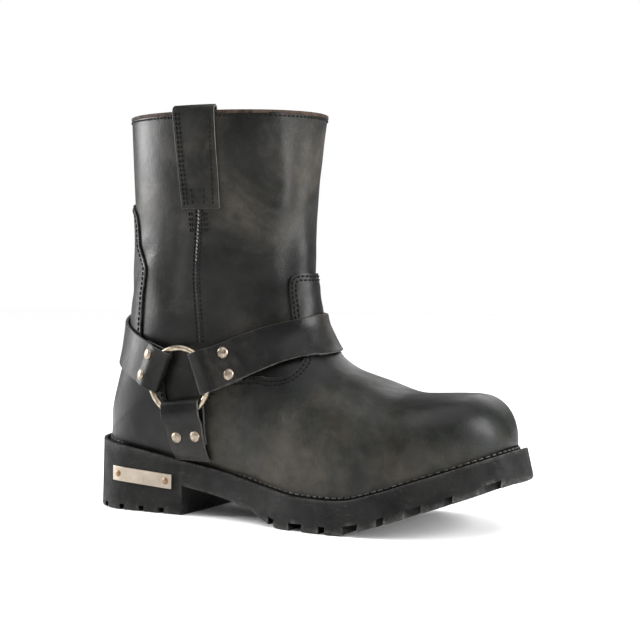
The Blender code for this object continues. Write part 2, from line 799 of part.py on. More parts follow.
def notch_box(bm, x, width, reach, depth, side):
    # A slot in from the side of the tread, its roof along the tread's slope
    flank = SIDE_MARGIN + flare(x)
    outside = side * (half_width(x, side, HEEL_MARGIN, flank, TOE_MARGIN) + NOTCH_OUTSIDE) + centre_y(x)
    inside = side * max(half_width(x, side, HEEL_MARGIN, flank, TOE_MARGIN) - reach, NOTCH_KEEP) + centre_y(x)
    corners = []
    for end in (x - width / 2, x + width / 2):
        for y in (inside, outside):
            for z in (under_height(end) - NOTCH_BELOW, under_height(end) + depth):
                corners.append(bm.verts.new((end, y, z)))
    for face in ((0, 1, 3, 2), (4, 6, 7, 5), (0, 4, 5, 1), (2, 3, 7, 6), (0, 2, 6, 4), (1, 5, 7, 3)):
        bm.faces.new([corners[k] for k in face])


def make_notches():
    bm = bmesh.new()
    for side in (-1, 1):
        for k in range(NOTCH_COUNT):
            wide = k % 2 == 1
            width = NOTCH_WIDE if wide else NOTCH_NARROW
            reach = NOTCH_REACH_WIDE if wide else NOTCH_REACH_NARROW
            notch_box(bm, NOTCH_START + k * NOTCH_PITCH, width, reach, LUG_DEPTH, side)
        for k in range(HEEL_NOTCH_COUNT):
            x = HEEL_NOTCH_START + k * HEEL_NOTCH_PITCH
            notch_box(bm, x, HEEL_NOTCH_WIDTH, HEEL_NOTCH_REACH, HEEL_LUG_DEPTH, side)
    cutter = finish_mesh("tread_notches", bm, None)
    cutter.hide_render = True
    cutter.display_type = "WIRE"
    return cutter


def make_welt(material):
    middle = middle_stations(True)
    outside = -RIM_WIDTH - GAP

    def low(x):
        return welt_top(x) - WELT_THICKNESS

    def inner_level(height):
        return outline(-WELT_TUCK, -WELT_TUCK, -WELT_TUCK, height, middle)

    levels = [
        sole_level(lambda x: outside, low, middle),
        sole_level(lambda x: outside, welt_top, middle),
        inner_level(welt_top),
        inner_level(low),
    ]
    return stack("welt", levels, material, closed=True)


def make_insole(material):
    middle = middle_stations(False)
    edge = -WALL - INSOLE_ROOM

    def low(x):
        return feather_height(x) + WALL + GAP

    def high(x):
        return low(x) + INSOLE_THICKNESS

    levels = [outline(edge, edge, edge, height, middle) for height in (low, high)]
    return stack("insole", levels, material)


def surface_tree(grid):
    # A searchable copy of one form of the upper, with the bmesh that keeps its vertex normals
    bm = bmesh.new()
    rows = [[bm.verts.new(p) for p in row] for row in grid]
    grid_faces(bm, rows, split=True)
    bmesh.ops.remove_doubles(bm, verts=bm.verts, dist=0.00001)
    bmesh.ops.recalc_face_normals(bm, faces=bm.faces)
    bm.faces.ensure_lookup_table()
    bm.normal_update()
    return BVHTree.FromBMesh(bm), bm


def seat(surface, origin, direction):
    # Where a straight look meets the form: the point, and its smoothed outward normal
    tree, bm = surface
    point, normal, index, distance = tree.ray_cast(origin, direction)
    face = bm.faces[index]
    weights = poly_3d_calc([v.co for v in face.verts], point)
    blended = Vector((0, 0, 0))
    for weight, vert in zip(weights, face.verts):
        blended += weight * vert.normal
    blended.normalize()
    if blended.dot(direction) > 0:
        blended = -blended
    return point, blended


def seat_from_side(surface, x, z, side):
    return seat(surface, Vector((x, side * LOOK_FROM, z)), Vector((0, -side, 0)))


def seat_round(surface, axis_x, degrees, z):
    out = Vector((math.cos(math.radians(degrees)), math.sin(math.radians(degrees)), 0))
    return seat(surface, Vector((axis_x, 0, z)) + out * LOOK_FROM, -out)


def ring_frame(surface):
    # The ring lies in a plane along the upper's side, far enough out for the folded straps
    points = []
    for k in range(12):
        turn = 2 * math.pi * k / 12
        x = RING_X + RING_RADIUS * math.cos(turn)
        z = RING_Z + RING_RADIUS * math.sin(turn)
        points.append(seat_from_side(surface, x, z, -1)[0])
    data = np.array(points)
    fit = np.stack([data[:, 0] - RING_X, data[:, 2] - RING_Z, np.ones(len(data))], axis=1)
    slope_x, slope_z, level = np.linalg.lstsq(fit, data[:, 1], rcond=None)[0]
    along = Vector((1, slope_x, 0)).normalized()
    out = Vector((slope_x, -1, slope_z)).normalized()
    up = out.cross(along)
    if up.z < 0:
        up = -up
    centre = Vector((RING_X, level, RING_Z))
    proud = max((Vector(p) - centre).dot(out) for p in points)
    proud = max(proud, (seat_from_side(surface, RING_X, RING_Z, -1)[0] - centre).dot(out))
    build = proud + STRAP_THICKNESS + 3 * GAP + RING_WIRE
    return centre + out * build, along, up, out


def make_ring(frame, material):
    centre, along, up, out = frame
    bm = bmesh.new()
    rows = []
    for i in range(32):
        turn = 2 * math.pi * i / 32
        radial = along * math.cos(turn) + up * math.sin(turn)
        row = []
        for j in range(7):
            roll = 2 * math.pi * j / 6
            reach = RING_RADIUS + RING_WIRE * math.cos(roll)
            row.append(radial * reach + out * (RING_WIRE * math.sin(roll)))
        rows.append([bm.verts.new(p) for p in row])
    grid_faces(bm, rows, closed=True)
    ring = finish_mesh("harness_ring", bm, material)
    ring.location = centre
    return ring


# One spot on the middle of a strap: its outer side's direction, the form's outward direction there,
# and the least distance that it keeps from the form, or 0 where it is free of it
Spot = namedtuple("Spot", "point facing out least")


def lifted(surface, rows):
    # Raises spots until no stretch between them comes closer to the form than they may
    for attempt in range(3):
        lift = np.zeros((len(rows), len(rows[0])))
        for i in range(len(rows) - 1):
            for j in range(len(rows[0]) - 1):
                corners = [rows[i][j], rows[i][j + 1], rows[i + 1][j], rows[i + 1][j + 1]]
                least = min(spot.least for spot in corners)
                if least <= 0:
                    continue
                for weights in ((2, 2, 2, 2), (4, 4, 0, 0), (0, 0, 4, 4), (4, 0, 4, 0), (0, 4, 0, 4)):
                    point = sum((spot.point * (w / 8) for spot, w in zip(corners, weights)), Vector())
                    out = sum((spot.out * w for spot, w in zip(corners, weights)), Vector()).normalized()
                    under = seat(surface, point + out * 10 * MM, -out)[0]
                    short = least - (point - under).dot(out)
                    if short > 0:
                        for a, b, w in zip((i, i, i + 1, i + 1), (j, j + 1, j, j + 1), weights):
                            if w:
                                lift[a, b] = max(lift[a, b], short)
        for i, row in enumerate(rows):
            rows[i] = [s._replace(point=s.point + s.out * lift[i, j]) for j, s in enumerate(row)]
    return rows


def across_shares():
    return [-0.5 + k / STRAP_STEPS for k in range(STRAP_STEPS + 1)]


def fold_distance():
    # Where the ring's wire meets the strap's edges, which stops the fold
    return math.sqrt(RING_RADIUS ** 2 - (STRAP_WIDTH / 2) ** 2) - GAP


def plane_rows(surface, frame, shape, top_layer):
    # Rows of a folded strap in the ring's frame: the inner layer from its end to the wire,
    # round the fold, and the outer layer back over the wire and down
    centre, along, up, out = frame
    angle = math.radians(shape.angle)
    direction = along * math.cos(angle) + up * math.sin(angle)
    across = out.cross(direction)
    bulge = RING_WIRE + 2 * GAP + STRAP_THICKNESS / 2
    over_wire = RING_RADIUS + RING_WIRE + 2 * GAP
    fold = fold_distance()

    def on_upper(distance, height):
        row = []
        for share in across_shares():
            start = centre + direction * distance + across * (share * STRAP_WIDTH)
            point, normal = seat(surface, start + out * LOOK_NEAR, -out)
            row.append(Spot(point + normal * height, normal, normal, height))
        return row

    def in_plane(distance, height):
        row = []
        for share in across_shares():
            start = centre + direction * distance + across * (share * STRAP_WIDTH)
            row.append(Spot(start + out * height, out if height > 0 else -out, out, 0))
        return row

    rows = []
    low_height = STRAP_ROOM + STRAP_THICKNESS / 2
    for distance in (shape.end, (shape.end + over_wire) / 2 + FOLD_CLOSING):
        rows.append([spot._replace(facing=-spot.facing) for spot in on_upper(distance, low_height)])
    for distance in (over_wire - FOLD_OPENING, fold):
        rows.append(in_plane(distance, -bulge))
    for turn in (-45, 0, 45):
        lean = math.radians(turn)
        row = []
        facing = out * math.sin(lean) - direction * math.cos(lean)
        for share in across_shares():
            start = centre + direction * fold + across * (share * STRAP_WIDTH)
            row.append(Spot(start + facing * bulge, facing, out, 0))
        rows.append(row)
    for distance in (fold, over_wire):
        rows.append(in_plane(distance, bulge))
    high = STRAP_ROOM + GAP + 1.5 * STRAP_THICKNESS
    for distance in (over_wire + FOLD_LANDING, shape.end + FOLD_OVERLAP):
        rows.append(on_upper(distance, high))
    if top_layer:
        rows.append(on_upper(shape.end + FOLD_DROP, low_height))
    return rows


def round_rows(surface, table, axis_x, steps):
    # Rows of a strap that goes on round the boot, evenly spaced through its table
    turns = [row.turn for row in table]
    order = 1 if turns[-1] > turns[0] else -1
    knots = [order * turn for turn in turns]

    def centre_at(turn):
        up = INSTEP_HEIGHT * smooth(knots, [row.up for row in table], order * turn)
        return seat_round(surface, axis_x, turn, up)

    rows = []
    least = STRAP_ROOM + STRAP_THICKNESS / 2
    for turn in np.linspace(turns[0], turns[-1], steps):
        here, normal = centre_at(turn)
        run = (centre_at(turn + 3)[0] - centre_at(turn - 3)[0]).normalized()
        across = normal.cross(run).normalized()
        if across.z < 0:
            across = -across
        lean = smooth(knots, [row.lean for row in table], order * turn)
        line = []
        for share in across_shares():
            target = here + across * (share * STRAP_WIDTH)
            degrees = math.degrees(math.atan2(target.y, target.x - axis_x))
            point, facing = seat_round(surface, axis_x, degrees, target.z)
            stand = least + lean * STRAP_WIDTH * (share + 0.5)
            line.append(Spot(point + facing * stand, facing, facing, least))
        rows.append(line)
    return rows


def strap_from_rows(name, rows, material):
    half = STRAP_THICKNESS / 2
    outer = [[spot.point + spot.facing * half for spot in row] for row in rows]
    inner = [[spot.point - spot.facing * half for spot in row] for row in rows]
    return slab(name, outer, inner, material, 40)


def match_sides(rows, more):
    # Keeps the same edge of the strap first when two stretches are joined
    last = rows[-1][0].point
    if (last - more[0][0].point).length > (last - more[0][-1].point).length:
        return [row[::-1] for row in more]
    return more


def make_round_strap(name, surface, frame, more, material):
    rows = plane_rows(surface, frame, AT_RING[name], True)
    rows = lifted(surface, rows + match_sides(rows, more))
    return strap_from_rows(name, rows, material), rows


def make_low_strap(surface, frame, material):
    shape = AT_RING["strap_low"]
    rows = plane_rows(surface, frame, shape, False)
    start = sum((spot.point for spot in rows[-1]), Vector()) / len(rows[-1])
    stop_z = feather_height(LOW_STRAP_FOOT) + OVERLAY_FACE + LOW_STRAP_RISE
    low_height = STRAP_ROOM + STRAP_THICKNESS / 2
    more = []
    for share in (0.6, 1.0):
        z = start.z + (stop_z - start.z) * share
        x = start.x + (LOW_STRAP_FOOT - start.x) * share
        line = []
        for part in across_shares():
            point, normal = seat_from_side(surface, x + part * STRAP_WIDTH, z, -1)
            line.append(Spot(point + normal * low_height, normal, normal, low_height))
        more.append(line)
    rows = lifted(surface, rows + match_sides(rows, more))
    return strap_from_rows("strap_low", rows, material)


def make_rivet(name, point, facing, radius, height, material):
    # A domed head with a flat back
    turn = facing.to_track_quat("Z", "Y").to_matrix().to_4x4()
    bm = bmesh.new()
    rows = []
    for share, rise in ((1.0, 0.0), (1.0, 0.35), (0.62, 0.9)):
        ring = []
        for k in range(RIVET_SIDES):
            angle = 2 * math.pi * k / RIVET_SIDES
            spot = Vector((radius * share * math.cos(angle), radius * share * math.sin(angle), rise * height))
            ring.append(bm.verts.new(turn @ spot))
        rows.append(ring + [ring[0]])
    grid_faces(bm, rows)
    top = bm.verts.new(turn @ Vector((0, 0, height)))
    last = rows[-1]
    for k in range(RIVET_SIDES):
        bm.faces.new([last[k], last[k + 1], top])
    bm.faces.new(rows[0][:-1])
    rivet = finish_mesh(name, bm, material)
    rivet.location = point
    return rivet


def outer_face(strap):
    bm = bmesh.new()
    bm.from_mesh(strap.data)
    bm.normal_update()
    bm.faces.ensure_lookup_table()
    return BVHTree.FromBMesh(bm), bm


def rivet_at(name, face, point, out, radius, height, material):
    # Seats a head on the strap's outer face, level with the three spots round it that stand highest
    side = out.orthogonal().normalized()
    other = out.cross(side)
    hits = []
    for k in range(8):
        turn = 2 * math.pi * k / 8
        spot = point + (side * math.cos(turn) + other * math.sin(turn)) * radius
        hits.append(seat(face, spot + out * LOOK_NEAR, -out)[0])
    middle = seat(face, point + out * LOOK_NEAR, -out)[0]
    data = np.array(hits)
    mean = data.mean(axis=0)
    normal = Vector(np.linalg.svd(data - mean)[2][2])
    if normal.dot(out) < 0:
        normal = -normal
    lift = max((Vector(p) - Vector(mean)).dot(normal) for p in hits + [middle])
    base = Vector(mean) + normal * (lift + GAP)
    return make_rivet(name, base, normal, radius, height, material)


def make_ring_rivets(straps, frame, material):
    centre, along, up, out = frame
    for name, shape in AT_RING.items():
        face = outer_face(straps[name])
        angle = math.radians(shape.angle)
        direction = along * math.cos(angle) + up * math.sin(angle)
        across = out.cross(direction)
        for number, side in enumerate((-1, 1), 1):
            point = centre + direction * shape.rivets + across * (side * RIVET_SPREAD)
            rivet_at(f"{name}_rivet_{number}", face, point, out, RIVET_RADIUS, RIVET_HEIGHT, material)


def make_end_rivets(strap, rows, material):
    # Two heads near the strap's medial end
    face = outer_face(strap)
    last = [spot.point for spot in rows[-1]]
    before = [spot.point for spot in rows[-2]]
    out = rows[-1][len(rows[-1]) // 2].out
    run = (sum(before, Vector()) - sum(last, Vector())).normalized()
    centre = sum(last, Vector()) / len(last)
    across = (last[-1] - last[0]).normalized()
    for number, side in enumerate((-1, 1), 3):
        point = centre + run * END_RIVET_INSET + across * (side * RIVET_SPREAD)
        rivet_at(f"{strap.name}_rivet_{number}", face, point, out, RIVET_RADIUS, RIVET_HEIGHT, material)


def make_pull_loop(surface, material):
    # Up the outside, over the collar and down the inside
    half = LOOP_THICKNESS / 2
    outside = 2 * GAP + half
    inside = -(WALL + 2 * GAP + half)
    heights = list(np.linspace(COLLAR_HEIGHT - LOOP_LENGTH, COLLAR_HEIGHT - LOOP_TURN, 6))

    def one_column(x):
        spots = []
        for z in heights:
            p, n = seat_from_side(surface, x, z, -1)
            spots.append(Spot(p + n * outside, n, n, outside))
        edge = p
        level = Vector((n.x, n.y, 0)).normalized()
        radius = (outside - inside) / 2
        middle = edge + level * (outside - radius)
        middle.z = COLLAR_HEIGHT + LOOP_RISE - radius - half
        for degrees in (0, 45, 90, 135, 180):
            turn = math.radians(degrees)
            ray = level * math.cos(turn) + Vector((0, 0, 1)) * math.sin(turn)
            spots.append(Spot(middle + ray * radius, ray, level, 0))
        for z in (COLLAR_HEIGHT - LOOP_INSIDE / 3, COLLAR_HEIGHT - LOOP_INSIDE):
            p, n = seat_from_side(surface, x, z, -1)
            spots.append(Spot(p + n * inside, -n, n, 0))
        return spots

    columns = [one_column(LOOP_X + LOOP_WIDTH * (k / 4 - 0.5)) for k in range(5)]
    columns = lifted(surface, columns)
    outer = [[spot.point + spot.facing * half for spot in column] for column in columns]
    inner = [[spot.point - spot.facing * half for spot in column] for column in columns]
    return slab("pull_loop", outer, inner, material, 40)


def zip_x(z):
    return foot_x(smooth([row.up for row in ZIP_LINE], [row.along for row in ZIP_LINE], z / COLLAR_HEIGHT))


def make_zip_slot():
    # The slot's outline: straight sides along the zip, a round lower end
    half = ZIP_SLOT / 2
    points = []
    for k in range(7):
        turn = math.pi * (1 + k / 6)
        points.append((zip_x(ZIP_LOW) + half * math.cos(turn), ZIP_LOW + half + half * math.sin(turn)))
    heights = list(np.linspace(ZIP_LOW + 3 * half, COLLAR_HEIGHT + CUTTER_BELOW, 6))
    points += [(zip_x(z) + half, z) for z in heights]
    points += [(zip_x(z) - half, z) for z in reversed(heights)]
    return prism("zip_slot", points, ZIP_CUT_FROM, BALL_WIDTH)


def zip_strip(name, surface, width, low, high, near, far, steps, material):
    # A strip along the zip between two depths from the upper's outer face
    outer = []
    inner = []
    for z in np.linspace(low, high, steps):
        front = []
        back = []
        for share in (-0.5, 0.0, 0.5):
            p, n = seat_from_side(surface, zip_x(z) + share * width, z, 1)
            front.append(p + n * near)
            back.append(p + n * far)
        outer.append(front)
        inner.append(back)
    return slab(name, outer, inner, material, 40)


def slider_top():
    return COLLAR_HEIGHT - SLIDER_DROP


def slider_frame(surface):
    # The slider's own directions on the shaft: out of the leather, up the zip and across
    top = slider_top()
    low = seat_from_side(surface, zip_x(top - SLIDER_HEIGHT), top - SLIDER_HEIGHT, 1)
    high = seat_from_side(surface, zip_x(top), top, 1)
    up = (high[0] - low[0]).normalized()
    out = (low[1] + high[1]).normalized()
    across = out.cross(up).normalized()
    out = up.cross(across).normalized()
    return (low[0] + high[0]) / 2, across, up, out


def local_solid(name, outline_points, low, high, frame, material):
    # A plate with its outline in the across and up directions, between two depths
    bm = bmesh.new()
    near = [bm.verts.new((x, low, z)) for x, z in outline_points]
    far = [bm.verts.new((x, high, z)) for x, z in outline_points]
    bm.faces.new(near)
    bm.faces.new(far[::-1])
    for k in range(len(outline_points)):
        after = (k + 1) % len(outline_points)
        bm.faces.new([near[k], near[after], far[after], far[k]])
    item = finish_mesh(name, bm, material)
    place(item, frame)
    return item


def place(item, frame):
    # Local x, y and z along across, out and up
    centre, across, up, out = frame
    turn = Matrix((across, out, up)).transposed().to_4x4()
    item.matrix_world = Matrix.Translation(centre) @ turn


def make_slider(frame, material):
    # Body over the teeth, and a bridge that carries the pull's bar
    base = SLIDER_SINK - WALL
    face = base + SLIDER_THICKNESS
    half = SLIDER_WIDTH / 2
    waist = half * SLIDER_WAIST
    low = -SLIDER_HEIGHT / 2
    high = SLIDER_HEIGHT / 2
    corner = SLIDER_CORNER
    flank = -SLIDER_FLANK * SLIDER_HEIGHT
    shape = [(-waist, low), (waist, low), (half, flank), (half, high - corner)]
    shape += [(half - corner, high), (-half + corner, high), (-half, high - corner), (-half, flank)]
    slider = local_solid("zip_slider", shape, base, face, frame, material)
    bar = bar_radius()
    hole = bar + GAP
    inner_low = face - BRIDGE_SINK
    roof = face + 2 * hole + 2 * GAP
    leg = BRIDGE_WALL + BRIDGE_FOOT
    bm = bmesh.new()
    side = BRIDGE_WIDTH / 2
    arch = [(-hole - leg, inner_low), (-hole, inner_low), (-hole, roof), (hole, roof), (hole, inner_low)]
    arch += [(hole + leg, inner_low), (hole + BRIDGE_WALL, roof + BRIDGE_WALL)]
    arch += [(-hole - BRIDGE_WALL, roof + BRIDGE_WALL)]
    left = [bm.verts.new((-side, y, z)) for z, y in arch]
    right = [bm.verts.new((side, y, z)) for z, y in arch]
    bm.faces.new(left)
    bm.faces.new(right[::-1])
    for k in range(len(arch)):
        after = (k + 1) % len(arch)
        bm.faces.new([left[k], left[after], right[after], right[k]])
    bridge = finish_mesh("slider_bridge", bm, None)
    place(bridge, frame)
    bridge.hide_render = True
    bridge.display_type = "WIRE"
    cut(slider, bridge, "UNION")
    return slider, face + hole + GAP


def bar_radius():
    return PULL_THICKNESS / 2


def make_pull(frame, bar_out, material):
    # A plate that hangs from a round bar through the bridge, with a window below
    bar = bar_radius()
    window = BRIDGE_WIDTH / 2 + 2 * GAP
    top_half = window + PULL_EYE_RAIL
    half = PULL_WIDTH / 2
    foot = -PULL_LENGTH
    corner = PULL_CORNER
    shape = [(-top_half, 0.0), (-top_half, -PULL_EYE_LOW), (-half, -PULL_NECK), (-half, foot + corner)]
    shape += [(-half + corner, foot), (half - corner, foot), (half, foot + corner), (half, -PULL_NECK)]
    shape += [(top_half, -PULL_EYE_LOW), (top_half, 0.0)]
    centre, across, up, out = frame
    hinge = (centre + out * bar_out, across, up, out)
    pull = local_solid("zip_pull", shape, -bar, bar, hinge, material)
    bar_mesh = bmesh.new()
    rows = []
    for end in (-top_half, top_half):
        ring = []
        for k in range(12):
            turn = 2 * math.pi * (k + 0.5) / 12
            ring.append(bar_mesh.verts.new((end, bar * math.cos(turn), bar * math.sin(turn))))
        rows.append(ring + [ring[0]])
    grid_faces(bar_mesh, rows)
    bar_mesh.faces.new(rows[0][:-1])
    bar_mesh.faces.new(rows[1][:-1])
    rod = finish_mesh("pull_bar", bar_mesh, None)
    place(rod, hinge)
    for name, low, high, wide in (
        ("pull_bridge_window", -EYE_LENGTH, -EYE_TOP, window),
        ("pull_low_window", foot + HOLE_LOW, foot + HOLE_HIGH, half - PULL_RAIL),
    ):
        points = [(-wide, low), (wide, low), (wide, high), (-wide, high)]
        window_cut = local_solid(name, points, -3 * bar, 3 * bar, hinge, None)
        window_cut.hide_render = True
        window_cut.display_type = "WIRE"
        cut(pull, window_cut)
    rod.hide_render = True
    rod.display_type = "WIRE"
    cut(pull, rod, "UNION")
    return pull


def plate_point(outsole_face, distance, share):
    # A point of the plate's middle face on the sole: how far along it, and its share across
    x = PLATE_START + distance * math.cos(math.radians(PLATE_SLOPE))
    z = PLATE_HEIGHT + distance * math.sin(math.radians(PLATE_SLOPE)) + share * PLATE_WIDTH
    return seat_from_side(outsole_face, x, z, -1)


def make_heel_plate(outsole_face, material):
    # A bent plate on the heel's lateral side, tilted with the sole, with a stud near each end
    outer = []
    inner = []
    for distance in np.linspace(0, PLATE_LENGTH, 7):
        front = []
        back = []
        for share in (-0.5, 0.5):
            p, n = plate_point(outsole_face, distance, share)
            front.append(p + n * (GAP + PLATE_THICKNESS))
            back.append(p + n * GAP)
        outer.append(front)
        inner.append(back)
    plate = slab("heel_plate", outer, inner, material, 40)
    face = outer_face(plate)
    for number, distance in enumerate((STUD_INSET, PLATE_LENGTH - STUD_INSET), 1):
        p, n = plate_point(outsole_face, distance, 0)
        rivet_at(f"plate_stud_{number}", face, p, n, STUD_RADIUS, STUD_HEIGHT, material)


def make_boot():
    clear_scene()
    leather = make_material("black_leather", (0.018, 0.018, 0.017), 0.42, 0.0)
    strap_leather = make_material("strap_leather", (0.024, 0.024, 0.023), 0.48, 0.0)
    rubber = make_material("black_rubber", (0.022, 0.022, 0.023), 0.72, 0.0)
    welt_leather = make_material("welt_leather", (0.012, 0.012, 0.012), 0.6, 0.0)
    lining = make_material("lining", (0.10, 0.075, 0.055), 0.8, 0.0)
    tape = make_material("zip_tape", (0.015, 0.015, 0.016), 0.85, 0.0)
    brass = make_material("aged_brass", (0.55, 0.42, 0.28), 0.35, 1.0)
    pewter = make_material("pewter", (0.62, 0.56, 0.48), 0.4, 1.0)
    nickel = make_material("aged_nickel", (0.45, 0.43, 0.40), 0.35, 1.0)

    grid = upper_grid()
    normals = grid_normals(grid)
    base = surface_tree(grid)
    dressed = surface_tree(moved_grid(grid, normals, OVERLAY_FACE))

    outsole = make_outsole(rubber)
    sole_face = outer_face(outsole)
    cut(outsole, make_notches())
    make_welt(welt_leather)
    make_insole(lining)
    upper = make_upper(grid, normals, leather)
    cut(upper, make_zip_slot())
    make_vamp(grid, normals, leather)
    make_counter(grid, normals, leather)

    frame = ring_frame(dressed)
    make_ring(frame, brass)
    front_way = round_rows(dressed, FRONT_STRAP, FRONT_AXIS, FRONT_STEPS)
    back_way = round_rows(dressed, BACK_STRAP, BACK_AXIS, BACK_STEPS)
    front, front_rows = make_round_strap("strap_front", dressed, frame, front_way, strap_leather)
    back, back_rows = make_round_strap("strap_back", dressed, frame, back_way, strap_leather)
    low = make_low_strap(dressed, frame, strap_leather)
    straps = {"strap_front": front, "strap_back": back, "strap_low": low}
    make_ring_rivets(straps, frame, pewter)
    make_end_rivets(straps["strap_front"], front_rows, pewter)
    make_end_rivets(straps["strap_back"], back_rows, pewter)

    make_pull_loop(base, strap_leather)
    tape_near = -WALL - 2 * GAP
    zip_strip("zip_tape", base, TAPE_WIDTH, ZIP_LOW - TAPE_BELOW, COLLAR_HEIGHT - TAPE_DROP,
              tape_near, tape_near - TAPE_THICKNESS, 12, tape)
    teeth_low = tape_near + 2 * GAP
    teeth_high = slider_top() - SLIDER_HEIGHT - 2 * GAP
    zip_strip("zip_teeth", base, TEETH_WIDTH, ZIP_LOW + TEETH_INSET, teeth_high,
              teeth_low + TEETH_THICKNESS, teeth_low, 12, brass)
    slider_at = slider_frame(base)
    slider, bar_out = make_slider(slider_at, nickel)
    make_pull(slider_at, bar_out, nickel)
    make_heel_plate(sole_face, pewter)


make_boot()
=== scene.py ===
import json
import math

import bmesh
import bpy
import numpy as np
from mathutils import Matrix, Vector
from mathutils.bvhtree import BVHTree
from mathutils.interpolate import poly_3d_calc

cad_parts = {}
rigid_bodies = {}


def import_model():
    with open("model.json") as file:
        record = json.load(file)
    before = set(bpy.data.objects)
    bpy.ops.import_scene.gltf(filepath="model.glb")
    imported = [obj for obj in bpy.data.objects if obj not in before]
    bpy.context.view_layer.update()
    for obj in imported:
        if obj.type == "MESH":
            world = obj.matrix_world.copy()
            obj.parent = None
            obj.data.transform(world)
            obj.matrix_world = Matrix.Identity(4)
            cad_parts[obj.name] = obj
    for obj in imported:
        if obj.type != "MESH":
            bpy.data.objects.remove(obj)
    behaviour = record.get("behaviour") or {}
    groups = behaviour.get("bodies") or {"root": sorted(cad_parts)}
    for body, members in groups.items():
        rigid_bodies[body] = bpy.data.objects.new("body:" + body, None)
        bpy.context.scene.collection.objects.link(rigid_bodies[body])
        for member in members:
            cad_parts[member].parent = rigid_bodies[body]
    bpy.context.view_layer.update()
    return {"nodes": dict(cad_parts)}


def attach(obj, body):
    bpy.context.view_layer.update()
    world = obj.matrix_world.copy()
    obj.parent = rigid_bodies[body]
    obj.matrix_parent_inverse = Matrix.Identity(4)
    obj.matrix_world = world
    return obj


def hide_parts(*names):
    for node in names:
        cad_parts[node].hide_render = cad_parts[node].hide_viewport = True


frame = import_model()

mm = 0.001
print("frame loaded,", len(frame["nodes"]), "nodes")

# The last: the same sizes and tables that the solids are made from
last = {
    "length": 299.2 * mm, "heelOffset": 30.7 * mm, "ballWidth": 102 * mm, "instepHeight": 126 * mm,
    "collarHeight": 272 * mm, "shaftWidth": 112 * mm, "toeRadius": 62 * mm, "toePower": 2.2,
    "heelRadius": 30.2 * mm, "heelPower": 2.1, "noseRadius": 26 * mm, "nosePower": 2.3,
    "toeSwing": 3.5 * mm, "sidePower": 2.3, "wall": 2.4 * mm, "margin": 12 * mm,
    "gap": 0.3 * mm, "overlay": 1.4 * mm, "ballAt": 0.73,
}
heelBack = -last["heelOffset"]
toeTip = last["length"] - last["heelOffset"]
overlayFace = last["gap"] + last["overlay"]

footTable = {
    "columns": ("along", "topAlong", "top", "lateral", "medial", "widest", "power"),
    "rows": [
        (0.000, 0.527, 1.247, 0.410, 0.410, 0.38, 2.00),
        (0.043, 0.529, 1.192, 0.405, 0.405, 0.34, 2.00),
        (0.115, 0.534, 1.129, 0.400, 0.400, 0.32, 2.00),
        (0.213, 0.538, 1.052, 0.395, 0.390, 0.34, 2.05),
        (0.344, 0.548, 0.984, 0.410, 0.390, 0.35, 2.10),
        (0.469, 0.567, 0.893, 0.443, 0.410, 0.36, 2.10),
        (0.584, 0.611, 0.806, 0.486, 0.448, 0.36, 2.20),
        (0.689, 0.692, 0.740, 0.505, 0.486, 0.36, 2.30),
        (0.787, 0.788, 0.675, 0.498, 0.507, 0.36, 2.50),
        (0.902, 0.903, 0.683, 0.494, 0.472, 0.36, 2.60),
        (1.000, 1.000, 0.679, 0.471, 0.433, 0.36, 2.60),
    ],
}
shaftTable = {
    "columns": ("up", "back", "front", "frontHeight", "half", "widest"),
    "rows": [
        (0.000, 0.000, 0.527, 0.578, 0.373, 0.38),
        (0.065, 0.002, 0.521, 0.610, 0.378, 0.40),
        (0.163, 0.021, 0.521, 0.649, 0.388, 0.42),
        (0.261, 0.044, 0.519, 0.690, 0.400, 0.46),
        (0.381, 0.060, 0.518, 0.735, 0.414, 0.50),
        (0.502, 0.070, 0.520, 0.783, 0.428, 0.50),
        (0.626, 0.076, 0.523, 0.838, 0.442, 0.50),
        (0.746, 0.073, 0.529, 0.890, 0.456, 0.50),
        (0.875, 0.070, 0.535, 0.945, 0.468, 0.50),
        (1.000, 0.067, 0.543, 1.000, 0.478, 0.50),
    ],
}
featherTable = {
    "columns": ("along", "lateral", "medial"),
    "rows": [
        (0.000, 0.314, 0.314), (0.311, 0.314, 0.290), (0.443, 0.362, 0.300), (0.574, 0.457, 0.390),
        (0.689, 0.486, 0.467), (0.787, 0.479, 0.492), (0.885, 0.467, 0.457), (1.000, 0.452, 0.414),
    ],
}
soleTable = {
    "columns": ("along", "rise", "spring"),
    "rows": [
        (0.000, 1.000, 0.00), (0.126, 0.820, 0.00), (0.267, 0.570, 0.00), (0.377, 0.375, 0.00),
        (0.487, 0.145, 0.00), (0.597, 0.000, 0.00), (0.652, 0.000, 0.00), (0.685, 0.000, 0.02),
        (0.755, 0.000, 0.19), (0.833, 0.000, 0.44), (0.912, 0.000, 0.70), (1.000, 0.000, 1.00),
    ],
}


def smoothAt(knots, values, where):  # monotone cubic, level beyond its ends
    x = np.asarray(knots, float)
    y = np.asarray(values, float)
    step = np.diff(x)
    slope = np.diff(y) / step
    tangent = np.zeros(len(x))
    tangent[0], tangent[-1] = slope[0], slope[-1]
    for k in range(1, len(x) - 1):
        if slope[k - 1] * slope[k] > 0:
            left = 2 * step[k] + step[k - 1]
            right = step[k] + 2 * step[k - 1]
            tangent[k] = (left + right) / (left / slope[k - 1] + right / slope[k])
    at = min(max(where, x[0]), x[-1])
    k = int(min(max(np.searchsorted(x, at) - 1, 0), len(step) - 1))
    t = (at - x[k]) / step[k]
    rise = (3 - 2 * t) * t * t
    start = t * (1 - t) ** 2 * step[k] * tangent[k]
    stop = t * t * (t - 1) * step[k] * tangent[k + 1]
    return float(y[k] + rise * (y[k + 1] - y[k]) + start + stop)


def readTable(table, column, where):
    index = table["columns"].index(column)
    return smoothAt([row[0] for row in table["rows"]], [row[index] for row in table["rows"]], where)


